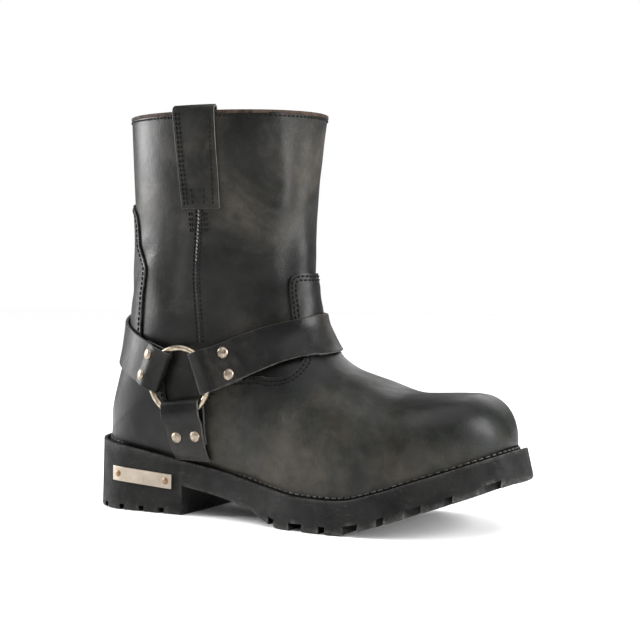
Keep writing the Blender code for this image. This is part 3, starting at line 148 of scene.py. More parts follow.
def ease(t):
    t = min(max(t, 0.0), 1.0)
    return t * t * (3 - 2 * t)


def endRound(distance, radius, power):
    if distance >= radius:
        return 1.0
    inside = (radius - max(distance, 0.0)) / radius
    return max(1.0 - inside ** power, 0.0) ** (1.0 / power)


def footShare(x):
    return (x - heelBack) / last["length"]


def footX(share):
    return heelBack + share * last["length"]


sole = {
    "thickness": 21 * mm, "heelRise": 28 * mm, "toeSpring": 33.5 * mm, "shank": 17 * mm,
    "heelMargin": 9.0 * mm, "sideMargin": 6.6 * mm, "toeMargin": 8 * mm, "flare": 2.5 * mm,
    "heelFlare": 1.2 * mm, "edge": 1.5 * mm, "rimWidth": 2.6 * mm, "rimRound": 0.8 * mm,
    "breastAt": 45 * mm, "breastSlope": 0.6 * mm, "lugDepth": 5 * mm, "heelLugDepth": 4 * mm,
    "weltDrop": 1.6 * mm, "weltThickness": 3 * mm, "weltTuck": 5 * mm,
    "notchStart": 124 * mm, "notchPitch": 20.5 * mm, "notchCount": 8, "notchWide": 10.5 * mm,
    "notchNarrow": 5 * mm, "reachWide": 24 * mm, "reachNarrow": 11 * mm,
    "heelNotchStart": -22 * mm, "heelNotchPitch": 16.8 * mm, "heelNotchCount": 4,
    "heelNotchWidth": 4.2 * mm, "heelNotchReach": 12 * mm, "leastReach": 4 * mm,
    "notchPast": 15 * mm, "notchUnder": 8 * mm,
    "flareRun": 60 * mm, "shankStart": 100 * mm, "shankRun": 33 * mm, "softRim": 0.3 * mm,
}


def soleShare(x):
    start = heelBack - sole["heelMargin"]
    return (x - start) / (toeTip + sole["toeMargin"] - start)


def springAt(x):
    return sole["toeSpring"] * readTable(soleTable, "spring", soleShare(x))


def rimHeight(x):
    return sole["thickness"] + sole["heelRise"] * readTable(soleTable, "rise", soleShare(x)) + springAt(x)


def weltTop(x):
    return rimHeight(x) - sole["weltDrop"]


def featherHeight(x):
    return weltTop(x) + 2 * last["gap"]


def underHeight(x):
    if x <= sole["breastAt"]:
        return 0.0
    waist = rimHeight(x) - sole["shank"]
    return waist + (springAt(x) - waist) * ease((x - sole["shankStart"]) / sole["shankRun"])


def centreY(x):
    ball = footX(last["ballAt"])
    return last["toeSwing"] * ease((x - ball) / (toeTip - ball))


def halfWidth(x, side, heel, flank, toe):
    column = "lateral" if side < 0 else "medial"
    straight = last["ballWidth"] * readTable(featherTable, column, footShare(x)) + flank
    nose = endRound(toeTip + toe - x, last["toeRadius"] + toe, last["toePower"])
    tail = endRound(x - heelBack + heel, last["heelRadius"] + heel, last["heelPower"])
    return straight * nose * tail


def stations(heel, toe, middle, heelSteps=16, toeSteps=26):  # closer together where the ends turn round
    heelRadius, toeRadius = last["heelRadius"] + heel, last["toeRadius"] + toe
    xs = [heelBack - heel + heelRadius * (1 - math.cos(0.5 * math.pi * k / heelSteps))
          for k in range(heelSteps)]
    xs += middle
    return xs + [toeTip + toe - toeRadius * (1 - math.cos(0.5 * math.pi * k / toeSteps))
                 for k in range(toeSteps - 1, -1, -1)]


def middleStations(steps, withBreast=False):
    start = heelBack + last["heelRadius"]
    stop = toeTip - last["toeRadius"]
    if not withBreast:
        return list(np.linspace(start, stop, steps))
    before = list(np.linspace(start, sole["breastAt"], steps // 4))
    return before + list(np.linspace(sole["breastAt"] + sole["breastSlope"], stop, steps))


def outline(heel, flank, toe, height, middle):  # one closed outline as its lateral and medial sides
    sides = []
    for side in (-1, 1):
        line = []
        for x in stations(heel, toe, middle):
            line.append((x, centreY(x) + side * halfWidth(x, side, heel, flank, toe), height(x)))
        sides.append(np.array(line))
    return sides


def addObject(name, mesh, materials):
    item = bpy.data.objects.new(name, mesh)
    bpy.context.scene.collection.objects.link(item)
    for material in materials:
        mesh.materials.append(material)
    return item


def joinRows(bm, rows, number=0):
    # Faces between rows of points, with the number of their material
    verts = [[bm.verts.new(p) for p in row] for row in rows]
    for one, two in zip(verts, verts[1:]):
        for j in range(len(one) - 1):
            bm.faces.new((one[j], one[j + 1], two[j + 1], two[j])).material_index = number


def meshFrom(bm, name):
    mesh = bpy.data.meshes.new(name)
    bm.to_mesh(mesh)
    bm.free()
    return mesh


def shadeSmooth(mesh, sharpAngle):
    mesh.shade_smooth()
    mesh.set_sharp_from_angle(angle=math.radians(sharpAngle))
    return mesh


def fromGrids(name, grids, materials, sharpAngle=40, welded=4e-6):
    # Grids of points joined along shared edges into one closed body; each grid has its material's number
    bm = bmesh.new()
    for rows, number in grids:
        joinRows(bm, rows, number)
    bmesh.ops.remove_doubles(bm, verts=bm.verts, dist=welded)
    bmesh.ops.dissolve_degenerate(bm, edges=bm.edges, dist=1e-7)
    bmesh.ops.recalc_face_normals(bm, faces=bm.faces)
    return addObject(name, shadeSmooth(meshFrom(bm, name), sharpAngle), materials)


def slab(name, outer, inner, materials):  # a sheet between two grids; its edges have the last material
    outer, inner = np.array(outer), np.array(inner)
    edges = [[outer[0], inner[0]], [outer[-1], inner[-1]],
             [outer[:, 0], inner[:, 0]], [outer[:, -1], inner[:, -1]]]
    grids = [(outer, 0), (inner, 0)] + [(rows, len(materials) - 1) for rows in edges]
    return fromGrids(name, grids, materials)


def selectOnly(item):
    for other in bpy.context.view_layer.objects:
        other.select_set(False)
    item.select_set(True)
    bpy.context.view_layer.objects.active = item


def editWhole(item, step, **values):  # one edit-mode tool over a whole piece
    selectOnly(item)
    bpy.ops.object.mode_set(mode="EDIT")
    bpy.ops.mesh.select_all(action="SELECT")
    step(**values)
    bpy.ops.object.mode_set(mode="OBJECT")
    return item


def cutWith(item, cutter, operation="DIFFERENCE"):
    change = item.modifiers.new("cut", "BOOLEAN")
    change.operation = operation
    change.solver = "EXACT"
    change.material_mode = "TRANSFER"
    change.object = cutter
    selectOnly(item)
    bpy.ops.object.modifier_apply(modifier=change.name)
    bpy.data.objects.remove(cutter, do_unlink=True)


def prism(points, lowY, highY, material):
    near = [(x, lowY, z) for x, z in points]
    far = [(x, highY, z) for x, z in points]
    count = len(points)
    faces = [list(range(count)), list(range(2 * count - 1, count - 1, -1))]
    faces += [[k, (k + 1) % count, count + (k + 1) % count, count + k] for k in range(count)]
    mesh = bpy.data.meshes.new("cutter")
    mesh.from_pydata(near + far, [], faces)
    cutter = addObject("cutter", mesh, [material])
    return editWhole(cutter, bpy.ops.mesh.normals_make_consistent, inside=False)


def softEdges(item, width, segments, angle, sharpAngle):
    change = item.modifiers.new("edges", "BEVEL")
    change.width = width
    change.segments = segments
    change.limit_method = "ANGLE"
    change.angle_limit = math.radians(angle)
    change.use_clamp_overlap = True
    selectOnly(item)
    bpy.ops.object.modifier_apply(modifier=change.name)
    bpy.ops.object.shade_smooth_by_angle(angle=math.radians(sharpAngle))
    return item


def keep(item, body, *nodes, slot=None):
    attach(item, body)
    if nodes:
        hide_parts(*nodes)
    return item


def bakePlace(item):
    selectOnly(item)
    bpy.ops.object.transform_apply(location=True, rotation=True, scale=True)
    return item


def template(item):  # one shape's points and faces, to be repeated along a seam
    points = np.array([v.co[:] for v in item.data.vertices])
    faces = [list(p.vertices) for p in item.data.polygons]
    bpy.data.objects.remove(item, do_unlink=True)
    return points, faces


def repeat(name, shape, places, material, sharpAngle):
    # places hold a point and three directions for the shape's own x, y and z
    points, faces = shape
    allPoints, allFaces = [], []
    for number, (centre, xAxis, yAxis, zAxis) in enumerate(places):
        turn = np.array([xAxis, yAxis, zAxis])
        allPoints.append(points @ turn + np.array(centre))
        allFaces += [[v + number * len(points) for v in face] for face in faces]
    mesh = bpy.data.meshes.new(name)
    mesh.from_pydata(np.concatenate(allPoints).tolist(), [], allFaces)
    return addObject(name, shadeSmooth(mesh, sharpAngle), [material])


class Finish:  # small helper round one material's nodes
    def __init__(self, name, **values):
        self.material = bpy.data.materials.new(name)
        self.material.use_nodes = True
        self.nodes = self.material.node_tree.nodes
        self.links = self.material.node_tree.links
        self.shader = self.filled(self.nodes["Principled BSDF"], values)
        self.place = self.nodes.new("ShaderNodeTexCoord").outputs["Object"]
        self.height = None

    def filled(self, node, values):
        for socket, value in values.items():
            node.inputs[socket.replace("_", " ")].default_value = value
        return node

    def node(self, kind, **values):
        return self.filled(self.nodes.new("ShaderNode" + kind), values)

    def stretched(self, scale):
        mapping = self.node("Mapping", Scale=scale)
        self.links.new(self.place, mapping.inputs["Vector"])
        return mapping.outputs["Vector"]

    def noise(self, scale, detail=4, roughness=0.55, distortion=0.0, place=None):
        node = self.node("TexNoise", Scale=scale, Detail=detail, Roughness=roughness, Distortion=distortion)
        self.links.new(place or self.place, node.inputs["Vector"])
        return node.outputs["Fac"]

    def cells(self, scale):
        node = self.nodes.new("ShaderNodeTexVoronoi")
        node.feature = "SMOOTH_F1"
        node.inputs["Scale"].default_value = scale
        self.links.new(self.place, node.inputs["Vector"])
        return node.outputs["Distance"]

    def ramp(self, value, stops):
        node = self.nodes.new("ShaderNodeValToRGB")
        for number, (at, colour) in enumerate(stops):
            stop = node.color_ramp.elements[number] if number < 2 else node.color_ramp.elements.new(at)
            stop.position = at
            stop.color = (*colour, 1.0)
        self.links.new(value, node.inputs["Fac"])
        return node.outputs["Color"]

    def mix(self, share, one, two, mode="MIX"):
        node = self.nodes.new("ShaderNodeMix")
        node.data_type = "RGBA"
        node.blend_type = mode
        if isinstance(share, float):
            node.inputs["Factor"].default_value = share
        else:
            self.links.new(share, node.inputs["Factor"])
        self.links.new(one, node.inputs["A"])
        self.links.new(two, node.inputs["B"])
        return node.outputs["Result"]

    def spread(self, value, low, high, fromLow=0.3, fromHigh=0.7):
        node = self.node("MapRange", From_Min=fromLow, From_Max=fromHigh, To_Min=low, To_Max=high)
        self.links.new(value, node.inputs["Value"])
        return node.outputs["Result"]

    def colour(self, socket):
        self.links.new(socket, self.shader.inputs["Base Color"])

    def roughness(self, socket):
        self.links.new(socket, self.shader.inputs["Roughness"])

    def bump(self, value, distance, strength=1.0):
        node = self.node("Bump", Strength=strength, Distance=distance)
        self.links.new(value, node.inputs["Height"])
        if self.height:
            self.links.new(self.height, node.inputs["Normal"])
        self.height = node.outputs["Normal"]
        self.links.new(self.height, self.shader.inputs["Normal"])


leatherLook = {
    "deep": (0.0008, 0.0008, 0.0009), "middle": (0.0060, 0.0055, 0.0049), "worn": (0.0285, 0.0257, 0.0226),
    "brown": (0.0310, 0.0265, 0.0185), "green": (0.0075, 0.0105, 0.0082), "matt": 0.50, "polished": 0.33,
    "grain": 0.18 * mm, "wrinkle": 0.6 * mm, "specular": 0.14,
}


def leatherFinish(name, look, warmth, cloudSize):
    f = Finish(name, Coat_Weight=0.08, Coat_Roughness=0.30, Specular_IOR_Level=look["specular"])
    cloud = f.noise(cloudSize, 7, 0.66, 0.5)
    tone = f.ramp(cloud, [(0.40, look["deep"]), (0.50, look["middle"]), (0.64, look["worn"])])
    stain = f.ramp(f.noise(11, 5, 0.6, 0.4),
                   [(0.40, look["deep"]), (0.52, look["green"]), (0.63, look["brown"])])
    base = f.mix(warmth, tone, stain)
    mottle = f.ramp(f.noise(95, 6, 0.7, 0.3), [(0.36, (0.70, 0.70, 0.70)), (0.64, (1.25, 1.25, 1.25))])
    scuff = f.ramp(f.noise(260, 8, 0.75, 0.8, f.stretched((1.0, 1.0, 0.35))),
                   [(0.60, (0, 0, 0)), (0.80, (0.020, 0.0195, 0.0185))])
    f.colour(f.mix(1.0, f.mix(1.0, base, mottle, "MULTIPLY"), scuff, "ADD"))
    f.roughness(f.spread(f.noise(30, 6, 0.65), look["matt"], look["polished"], 0.38, 0.62))
    f.bump(f.noise(115, 4, 0.55, 0.6), look["wrinkle"], 0.4)
    f.bump(f.cells(1150), look["grain"], 0.6)
    f.bump(f.noise(2300, 3, 0.6), look["grain"] * 0.5, 0.4)
    return f.material


leather = leatherFinish("waxedLeather", leatherLook, 0.50, 10)
shaftLeather = leatherFinish("shaftLeather", leatherLook, 0.24, 11)
strapLook = dict(leatherLook, middle=(0.0100, 0.0093, 0.0084), wrinkle=0.25 * mm, polished=0.30)
strapLeather = leatherFinish("harnessLeather", strapLook, 0.20, 20)


def plainFinish(name, cloud, dark, light, relief, height, strength=0.6, stretch=None, **values):
    # Two clouded tones and one fine relief
    f = Finish(name, **values)
    f.colour(f.ramp(f.noise(*cloud), [dark, light]))
    f.bump(f.noise(*relief, 0.0, f.stretched(stretch) if stretch else None), height, strength)
    return f.material


def rubberFinish():
    f = Finish("soleRubber", Specular_IOR_Level=0.14)
    dust = f.ramp(f.noise(26, 7, 0.7, 0.4),
                  [(0.38, (0.0016, 0.0016, 0.0017)), (0.66, (0.0120, 0.0118, 0.0110))])
    scuff = f.ramp(f.noise(420, 7, 0.8, 1.2, f.stretched((0.35, 0.35, 1.0))),
                   [(0.57, (0, 0, 0)), (0.78, (0.040, 0.0392, 0.0365))])
    edges = f.nodes.new("ShaderNodeNewGeometry").outputs["Pointiness"]  # paler where the rubber is rubbed
    rubbed = f.mix(f.spread(f.noise(240, 5, 0.7), 0.15, 1.0, 0.40, 0.62),
                   f.ramp(edges, [(0.50, (0, 0, 0)), (0.51, (0, 0, 0))]),
                   f.ramp(edges, [(0.516, (0, 0, 0)), (0.575, (0.070, 0.068, 0.064))]))
    f.colour(f.mix(1.0, f.mix(1.0, dust, scuff, "ADD"), rubbed, "ADD"))
    f.roughness(f.spread(f.noise(70, 6, 0.65), 0.58, 0.82))
    f.bump(f.noise(190, 5, 0.65, 0.0, f.stretched((0.6, 0.6, 1.6))), 0.4 * mm, 0.55)
    f.bump(f.noise(1500, 4, 0.7), 0.16 * mm, 0.6)
    return f.material


def metalFinish(name, bright, dull, tarnish, roughLow, roughHigh, scale=300):
    f = Finish(name, Metallic=1.0)
    base = f.ramp(f.noise(scale, 6, 0.65), [(0.30, dull), (0.68, bright)])
    spots = f.ramp(f.noise(scale * 2.3, 4, 0.7), [(0.56, (1, 1, 1)), (0.80, tarnish)])
    f.colour(f.mix(1.0, base, spots, "MULTIPLY"))
    f.roughness(f.spread(f.noise(scale * 0.7, 5, 0.6), roughLow, roughHigh))
    f.bump(f.noise(scale * 5, 4, 0.6), 0.05 * mm, 0.4)
    return f.material


def threadFinish(name, light, dark, roughness=0.55):
    return plainFinish(name, (520, 3, 0.5), (0.35, dark), (0.70, light), (2600, 2, 0.5), 0.08 * mm, 0.5,
                       Roughness=roughness, Specular_IOR_Level=0.2)


def tapeFinish():
    f = Finish("zipTape", Roughness=0.85, Sheen_Weight=0.2)
    f.colour(f.ramp(f.noise(300, 4, 0.6), [(0.35, (0.006, 0.006, 0.0065)), (0.75, (0.020, 0.020, 0.021))]))
    weave = f.nodes.new("ShaderNodeTexWave")
    weave.bands_direction = "Z"
    weave.inputs["Scale"].default_value = 260
    weave.inputs["Distortion"].default_value = 1.5
    f.links.new(f.place, weave.inputs["Vector"])
    f.bump(weave.outputs["Fac"], 0.2 * mm, 0.7)
    f.bump(f.cells(1500), 0.12 * mm, 0.5)
    return f.material


metalLooks = {  # bright, dull and tarnish colour, roughness from and to, how fine the spots are
    "agedPewter": ((0.35, 0.295, 0.235), (0.16, 0.13, 0.10), (0.45, 0.40, 0.36), 0.30, 0.50, 420),
    "plateMetal": ((0.40, 0.345, 0.285), (0.28, 0.238, 0.192), (0.80, 0.77, 0.74), 0.34, 0.46, 60),
    "paleBrass": ((0.43, 0.365, 0.285), (0.20, 0.162, 0.118), (0.45, 0.38, 0.30), 0.22, 0.42),
    "toothBrass": ((0.55, 0.33, 0.18), (0.26, 0.15, 0.09), (0.4, 0.33, 0.28), 0.26, 0.5, 500),
    "studBronze": ((0.30, 0.19, 0.11), (0.12, 0.075, 0.045), (0.4, 0.33, 0.28), 0.30, 0.55, 500),
    "agedNickel": ((0.52, 0.49, 0.45), (0.27, 0.25, 0.23), (0.5, 0.47, 0.44), 0.28, 0.46),
}
threadLooks = {  # light and dark colour, roughness
    "blackThread": ((0.0030, 0.0030, 0.0030), (0.0006, 0.0006, 0.0006), 0.85),
    "greyThread": ((0.105, 0.101, 0.093), (0.020, 0.0195, 0.018)),
    # pale tone of the side seam's upper thread: the thread's own colour with a painted highlight
    "paleThreadPaintedHighlight": ((0.30, 0.285, 0.26), (0.11, 0.10, 0.09)),
    "collarThread": ((0.0060, 0.0042, 0.0035), (0.0015, 0.0011, 0.0010), 0.8),
    "dullThread": ((0.050, 0.048, 0.045), (0.008, 0.008, 0.008)),
}
cutEdge = plainFinish("cutEdge", (240, 5, 0.7), (0.34, (0.010, 0.010, 0.0095)), (0.70, (0.085, 0.082, 0.075)),
                      (900, 5, 0.7), 0.25 * mm, stretch=(1, 1, 3), Roughness=0.62)
rubber = rubberFinish()
metals = {name: metalFinish(name, *look) for name, look in metalLooks.items()}
threads = {name: threadFinish(name, *look) for name, look in threadLooks.items()}
lining = plainFinish("lining", (60, 6, 0.65), (0.32, (0.052, 0.040, 0.031)), (0.72, (0.125, 0.097, 0.074)),
                     (900, 5, 0.7), 0.15 * mm, Roughness=0.82, Sheen_Weight=0.15)
foldedEdge = plainFinish("foldedEdge", (180, 6, 0.65), (0.36, (0.010, 0.007, 0.0055)),
                         (0.68, (0.062, 0.041, 0.030)), (1100, 4, 0.6), 0.12 * mm,
                         Roughness=0.72, Specular_IOR_Level=0.12)
# near-black welt: partly its own black leather, partly painted shade of the gap between the upper and the
# sole's rim
weltLeatherPaintedShade = plainFinish("weltLeatherPaintedShade", (120, 6, 0.65), (0.38, (0.0006, 0.0006, 0.0007)),
                          (0.70, (0.0050, 0.0050, 0.0048)), (600, 4, 0.6), 0.2 * mm,
                          Roughness=0.75, Specular_IOR_Level=0.05)
tapeCloth = tapeFinish()
print("finishes made")


fine = {"arc": 62, "foot": 54, "shaft": 72, "lowArc": 48, "highArc": 80, "even": 0.05}  # steps of the form


def sectionSide(footHalf, half, widest, power, length, steps):
    half = max(half, 1e-9)
    sidePower = last["sidePower"]
    ratio = min(footHalf / half, 0.9999)
    start = math.asin(math.sqrt(1 - ratio ** sidePower))
    deep = widest / max(1 - ratio ** sidePower, 1e-12) ** (1 / sidePower)
    low = start * (1 - np.linspace(0, 1, fine["lowArc"] + 1))
    high = 0.5 * math.pi * np.linspace(0, 1, fine["highArc"] + 1)[1:]
    up = np.concatenate([widest - deep * np.sin(low) ** (2 / sidePower),
                         widest + (1 - widest) * np.sin(high) ** (2 / power)])
    out = np.concatenate([half * np.cos(low) ** (2 / sidePower),
                          half * np.maximum(np.cos(high), 0) ** (2 / power)])
    out[-1] = 0.0
    run = np.concatenate([[0], np.cumsum(np.hypot(np.diff(up) * length, np.diff(out)))])
    share = np.linspace(0, 1, steps + 1)
    even = run[-1] * (share - fine["even"] * np.sin(2 * math.pi * share))
    return np.interp(even, run, up), np.interp(even, run, out)


def fullSection(low, top, footHalves, halves, centre, widest, power, steps):
    low, top = np.array(low), np.array(top)
    length = float(np.linalg.norm(top - low))
    points = []
    for side, footHalf, half in zip((-1, 1), footHalves, halves):
        share, out = sectionSide(footHalf, half, widest, power, length, steps)
        along = low + share[:, None] * (top - low)
        points.append(np.stack([along[:, 0], centre + side * out, along[:, 1]], axis=1))
    return np.concatenate([points[0], points[1][-2::-1]])


def footSection(x, steps):
    share = footShare(x)
    lowZ = featherHeight(x)
    nose = endRound(toeTip - x, last["toeRadius"], last["toePower"])
    lift = endRound(toeTip - x, last["noseRadius"], last["nosePower"])
    topZ = lowZ + (last["instepHeight"] * readTable(footTable, "top", share) - lowZ) * lift
    topX = footX(readTable(footTable, "topAlong", share))
    footHalves = [halfWidth(x, side, 0, 0, 0) for side in (-1, 1)]
    wide = last["ballWidth"] * nose
    halves = [wide * readTable(footTable, column, share) for column in ("lateral", "medial")]
    return fullSection((x, lowZ), (topX, topZ), footHalves, halves, centreY(x),
                       readTable(footTable, "widest", share), readTable(footTable, "power", share), steps)


def shaftSection(up, steps):
    heelZ = featherHeight(heelBack)
    low = (footX(readTable(shaftTable, "back", up)), heelZ + up * (last["collarHeight"] - heelZ))
    topZ = last["collarHeight"] * readTable(shaftTable, "frontHeight", up)
    half = last["shaftWidth"] * readTable(shaftTable, "half", up)
    return fullSection(low, (footX(readTable(shaftTable, "front", up)), topZ), (0, 0), (half, half), 0.0,
                       readTable(shaftTable, "widest", up), 2.0, steps)


def lastedGrid():
    xs = stations(0, 0, middleStations(fine["foot"]))
    rows = [footSection(x, fine["arc"]) for x in reversed(xs)]
    rows += [shaftSection(k / fine["shaft"], fine["arc"]) for k in range(1, fine["shaft"] + 1)]
    return np.array(rows)


def gridNormals(grid):
    normals = np.cross(np.gradient(grid, axis=0), np.gradient(grid, axis=1))
    normals /= np.maximum(np.linalg.norm(normals, axis=2, keepdims=True), 1e-15)
    heelRow = len(grid) - fine["shaft"] - 1
    for i in range(heelRow, len(grid)):
        both = normals[i, 0] + normals[i, -1]
        both[1] = 0
        normals[i, 0] = normals[i, -1] = both / np.linalg.norm(both)
    middle = grid[len(grid) // 2]
    outwards = middle[fine["arc"] // 2] - middle.mean(axis=0)
    if np.dot(normals[len(grid) // 2, fine["arc"] // 2], outwards) < 0:
        normals = -normals
    normals[0, :] = (1, 0, 0)
    return normals


def formTree(grid):
    bm = bmesh.new()
    joinRows(bm, grid)
    bmesh.ops.remove_doubles(bm, verts=bm.verts, dist=4e-6)
    bmesh.ops.recalc_face_normals(bm, faces=bm.faces)
    bm.faces.ensure_lookup_table()
    bm.normal_update()
    return BVHTree.FromBMesh(bm), bm


def pieceTree(item):
    bm = bmesh.new()
    bm.from_mesh(item.data)
    bmesh.ops.triangulate(bm, faces=bm.faces)
    bm.normal_update()
    bm.faces.ensure_lookup_table()
    return BVHTree.FromBMesh(bm), bm


# Where a look starts: far outside the boot, over the ring, over a rivet, and just over the leather or a seam
lookFrom = {"far": 0.5, "ring": 50 * mm, "rivet": 20 * mm, "leather": 10 * mm, "seam": 8 * mm}


def seat(form, origin, direction):  # where a straight look meets a form, and its outward normal there
    tree, bm = form
    point, _, index, _ = tree.ray_cast(origin, direction)
    face = bm.faces[index]
    blended = Vector((0, 0, 0))
    for weight, vert in zip(poly_3d_calc([v.co for v in face.verts], point), face.verts):
        blended += weight * vert.normal
    blended.normalize()
    return point, (-blended if blended.dot(direction) > 0 else blended)


def seatSide(form, x, z, side):
    return seat(form, Vector((x, side * lookFrom["far"], z)), Vector((0, -side, 0)))


def seatRound(form, axisX, degrees, z):
    out = Vector((math.cos(math.radians(degrees)), math.sin(math.radians(degrees)), 0))
    return seat(form, Vector((axisX, 0, z)) + out * lookFrom["far"], -out)


def seatOver(form, point, out, start):
    out = Vector(out)
    return seat(form, Vector(point) + out * lookFrom[start], -out)


def asLine(spots):  # seated spots as a line's points and normals
    return [p for p, n in spots], [n for p, n in spots]


# Creases of the shaft: width and depth in mm, and a path of turn in degrees round the shaft, from the
# toe to the medial side, and height as a share of the collar's. A ridge has a depth below 0.
creaseAxis = 60 * mm
creases = {
    "frontTrough": (8, 1.5, [(-12, 0.93), (-10, 0.84), (-11, 0.76), (-15, 0.69), (-17, 0.62)]),
    "frontRidge": (7, -1.0, [(-31, 1.00), (-26, 0.90), (-21, 0.82), (-28, 0.74), (-31, 0.67), (-27, 0.56)]),
    "sideDish": (16, 3.0, [(-48, 0.84), (-45, 0.77), (-41, 0.70)]),
    "sideFold": (8, 1.6, [(-60, 0.70), (-48, 0.66), (-36, 0.60)]),
    "loopHollow": (9, 1.3, [(-100, 0.70), (-108, 0.62), (-112, 0.53)]),
    "backRidge": (8, -0.9, [(-140, 0.68), (-132, 0.60), (-122, 0.52)]),
    "heelFold": (6, 0.8, [(-158, 0.56), (-146, 0.60), (-134, 0.66)]),
    "medialDish": (15, 1.6, [(52, 0.86), (48, 0.76), (44, 0.68)]),
    "medialFold": (7, 0.8, [(30, 0.70), (42, 0.64), (54, 0.60)]),
    "medialBack": (9, 1.2, [(120, 0.72), (128, 0.62), (138, 0.55)]),
    "instepFold": (5, 0.5, [(-22, 0.475), (0, 0.492), (22, 0.475)]),
}
# Creases of the foot: the side that shows them, width and depth in mm, and a path of shares of the
# length and of the collar's height
footCreases = {
    "vampHollow": (-1, 9, 1.2, [(0.36, 0.22), (0.39, 0.17), (0.44, 0.13)]),
    "vampRidge": (-1, 11, -0.7, [(0.47, 0.26), (0.56, 0.22), (0.66, 0.19)]),
    "ballBreak": (-1, 7, 0.5, [(0.62, 0.24), (0.68, 0.21), (0.73, 0.16)]),
    "medialBreak": (1, 8, 0.8, [(0.60, 0.24), (0.66, 0.20), (0.70, 0.15)]),
    "heelDimple": (-1, 10, 0.7, [(0.16, 0.24), (0.20, 0.27)]),
}


def creasePaths(form):  # width, depth and seated points of each crease
    collar = last["collarHeight"]
    for width, depth, path in creases.values():
        spots = [seatRound(form, creaseAxis, turn, up * collar)[0] for turn, up in path]
        yield width * mm, depth * mm, spots
    for side, width, depth, path in footCreases.values():
        spots = [seatSide(form, footX(along), up * collar, side)[0] for along, up in path]
        yield width * mm, depth * mm, spots


def creased(grid, normals):
    flat = grid.reshape(-1, 3)
    inwards = np.zeros(len(flat))
    for width, depth, spots in creasePaths(formTree(grid)):
        points = [np.array(p) for p in spots]
        nearest = np.full(len(flat), 1e9)
        for a, b in zip(points, points[1:]):
            share = np.clip(((flat - a) @ (b - a)) / np.dot(b - a, b - a), 0, 1)
            nearest = np.minimum(nearest, np.linalg.norm(flat - (a + share[:, None] * (b - a)), axis=1))
        inwards += depth * np.exp(-(nearest / width) ** 2)
    moved = (flat - inwards[:, None] * normals.reshape(-1, 3)).reshape(grid.shape)
    footRows = len(grid) - fine["shaft"]
    heelRow = footRows - 1
    moved[heelRow:, 0] = moved[heelRow:, -1] = (moved[heelRow:, 0] + moved[heelRow:, -1]) / 2
    for column in (0, -1):
        moved[:footRows, column] = grid[:footRows, column]
    moved[-1] = grid[-1]
    return moved


plainGrid = lastedGrid()
plainNormals = gridNormals(plainGrid)
grid = creased(plainGrid, plainNormals)
normals = gridNormals(grid)
footCount = len(grid) - fine["shaft"]
baseForm = formTree(grid)
dressedForm = formTree(plainGrid + plainNormals * overlayFace)
topForm = formTree(grid + normals * overlayFace)
print("lasted form ready:", grid.shape[0], "by", grid.shape[1])


def levelShift(point, normal, distance):
    level = Vector((normal[0], normal[1], 0))
    size = max(level.length, 0.5)
    return Vector(point) + level.normalized() * (distance / size)


def makeUpper():
    inside = grid - normals * last["wall"]
    for column in (0, -1):
        for i in range(footCount):
            corner = levelShift(grid[i, column], normals[i, column], -last["wall"])
            inside[i, column] = (corner.x, corner.y, featherHeight(corner.x) + last["wall"])
    inside[0, :] = inside[0, 0]
    grids = [(grid, 0), (inside, 1), ([grid[-1], inside[-1]], 1)]
    tuck = -last["margin"]
    rim = outline(tuck, tuck, tuck, featherHeight, middleStations(fine["foot"]))
    for column, line in zip((0, -1), rim):
        under = line[::-1]
        above = under + np.array((0, 0, last["wall"]))
        grids.append(([grid[:footCount, column], under], 0))
        grids.append(([under, above], 1))
        grids.append(([above, inside[:footCount, column]], 1))
    return fromGrids("upperLeather", grids, [shaftLeather, lining], 50)


zipSize = {"slot": 14 * mm, "low": 84 * mm, "tapeWidth": 24 * mm, "tapeThickness": 0.8 * mm,
           "tapeLow": 6 * mm, "tapeShort": 1 * mm, "past": 6 * mm, "cutFrom": 12 * mm,
           "toothPitch": 2.5 * mm, "toothWidth": 3.1 * mm, "toothHeight": 1.15 * mm,
           "toothDepth": 2.2 * mm, "toothEdge": 0.28 * mm, "toothStart": 3.2 * mm, "toothStop": 1.2 * mm,
           "toothRise": 0.9 * mm, "toothRun": 1 * mm, "sliderTop": 269 * mm, "sliderHeight": 13 * mm,
           "sliderEdge": 0.35 * mm, "pullEdge": 0.25 * mm}
zipRows = [(0.300, 0.362), (0.382, 0.367), (0.728, 0.380), (1.010, 0.392)]  # up, along


def zipX(z):
    return footX(smoothAt([row[0] for row in zipRows], [row[1] for row in zipRows], z / last["collarHeight"]))


def zipSlotOutline():
    half = zipSize["slot"] / 2
    low = zipSize["low"]
    points = []
    for k in range(17):
        turn = math.pi * (1 + k / 16)
        points.append((zipX(low) + half * math.cos(turn), low + half + half * math.sin(turn)))
    heights = list(np.linspace(low + 2 * half, last["collarHeight"] + zipSize["past"], 30))
    points += [(zipX(z) + half, z) for z in heights]
    return points + [(zipX(z) - half, z) for z in reversed(heights)]


upper = makeUpper()
cutWith(upper, prism(zipSlotOutline(), zipSize["cutFrom"], last["ballWidth"], shaftLeather))
keep(upper, "boot", "upper", slot="black_leather")
print("upper made:", len(upper.data.polygons), "faces")


# Edges seen from the side, as shares of the length and of the collar's height. Both dip behind the low strap
vampEdge = [(0.295, 0.258), (0.307, 0.281), (0.319, 0.302), (0.340, 0.330), (0.370, 0.347), (0.447, 0.356),
            (0.480, 0.353), (0.507, 0.355), (0.527, 0.361), (0.541, 0.375), (0.548, 0.396), (0.544, 0.423),
            (0.527, 0.456), (0.509, 0.493), (0.502, 0.537), (0.498, 0.581), (0.501, 0.597), (0.512, 0.606)]
counterEdge = [(0.291, 0.250), (0.250, 0.253), (0.227, 0.270), (0.215, 0.302), (0.209, 0.340), (0.173, 0.364),
               (0.151, 0.412), (0.145, 0.463), (0.147, 0.511), (0.151, 0.551), (0.161, 0.588), (0.165, 0.619),
               (0.154, 0.643), (0.141, 0.673), (0.133, 0.721), (0.123, 0.754), (0.103, 0.772), (0.076, 0.785),
               (0.056, 0.789)]

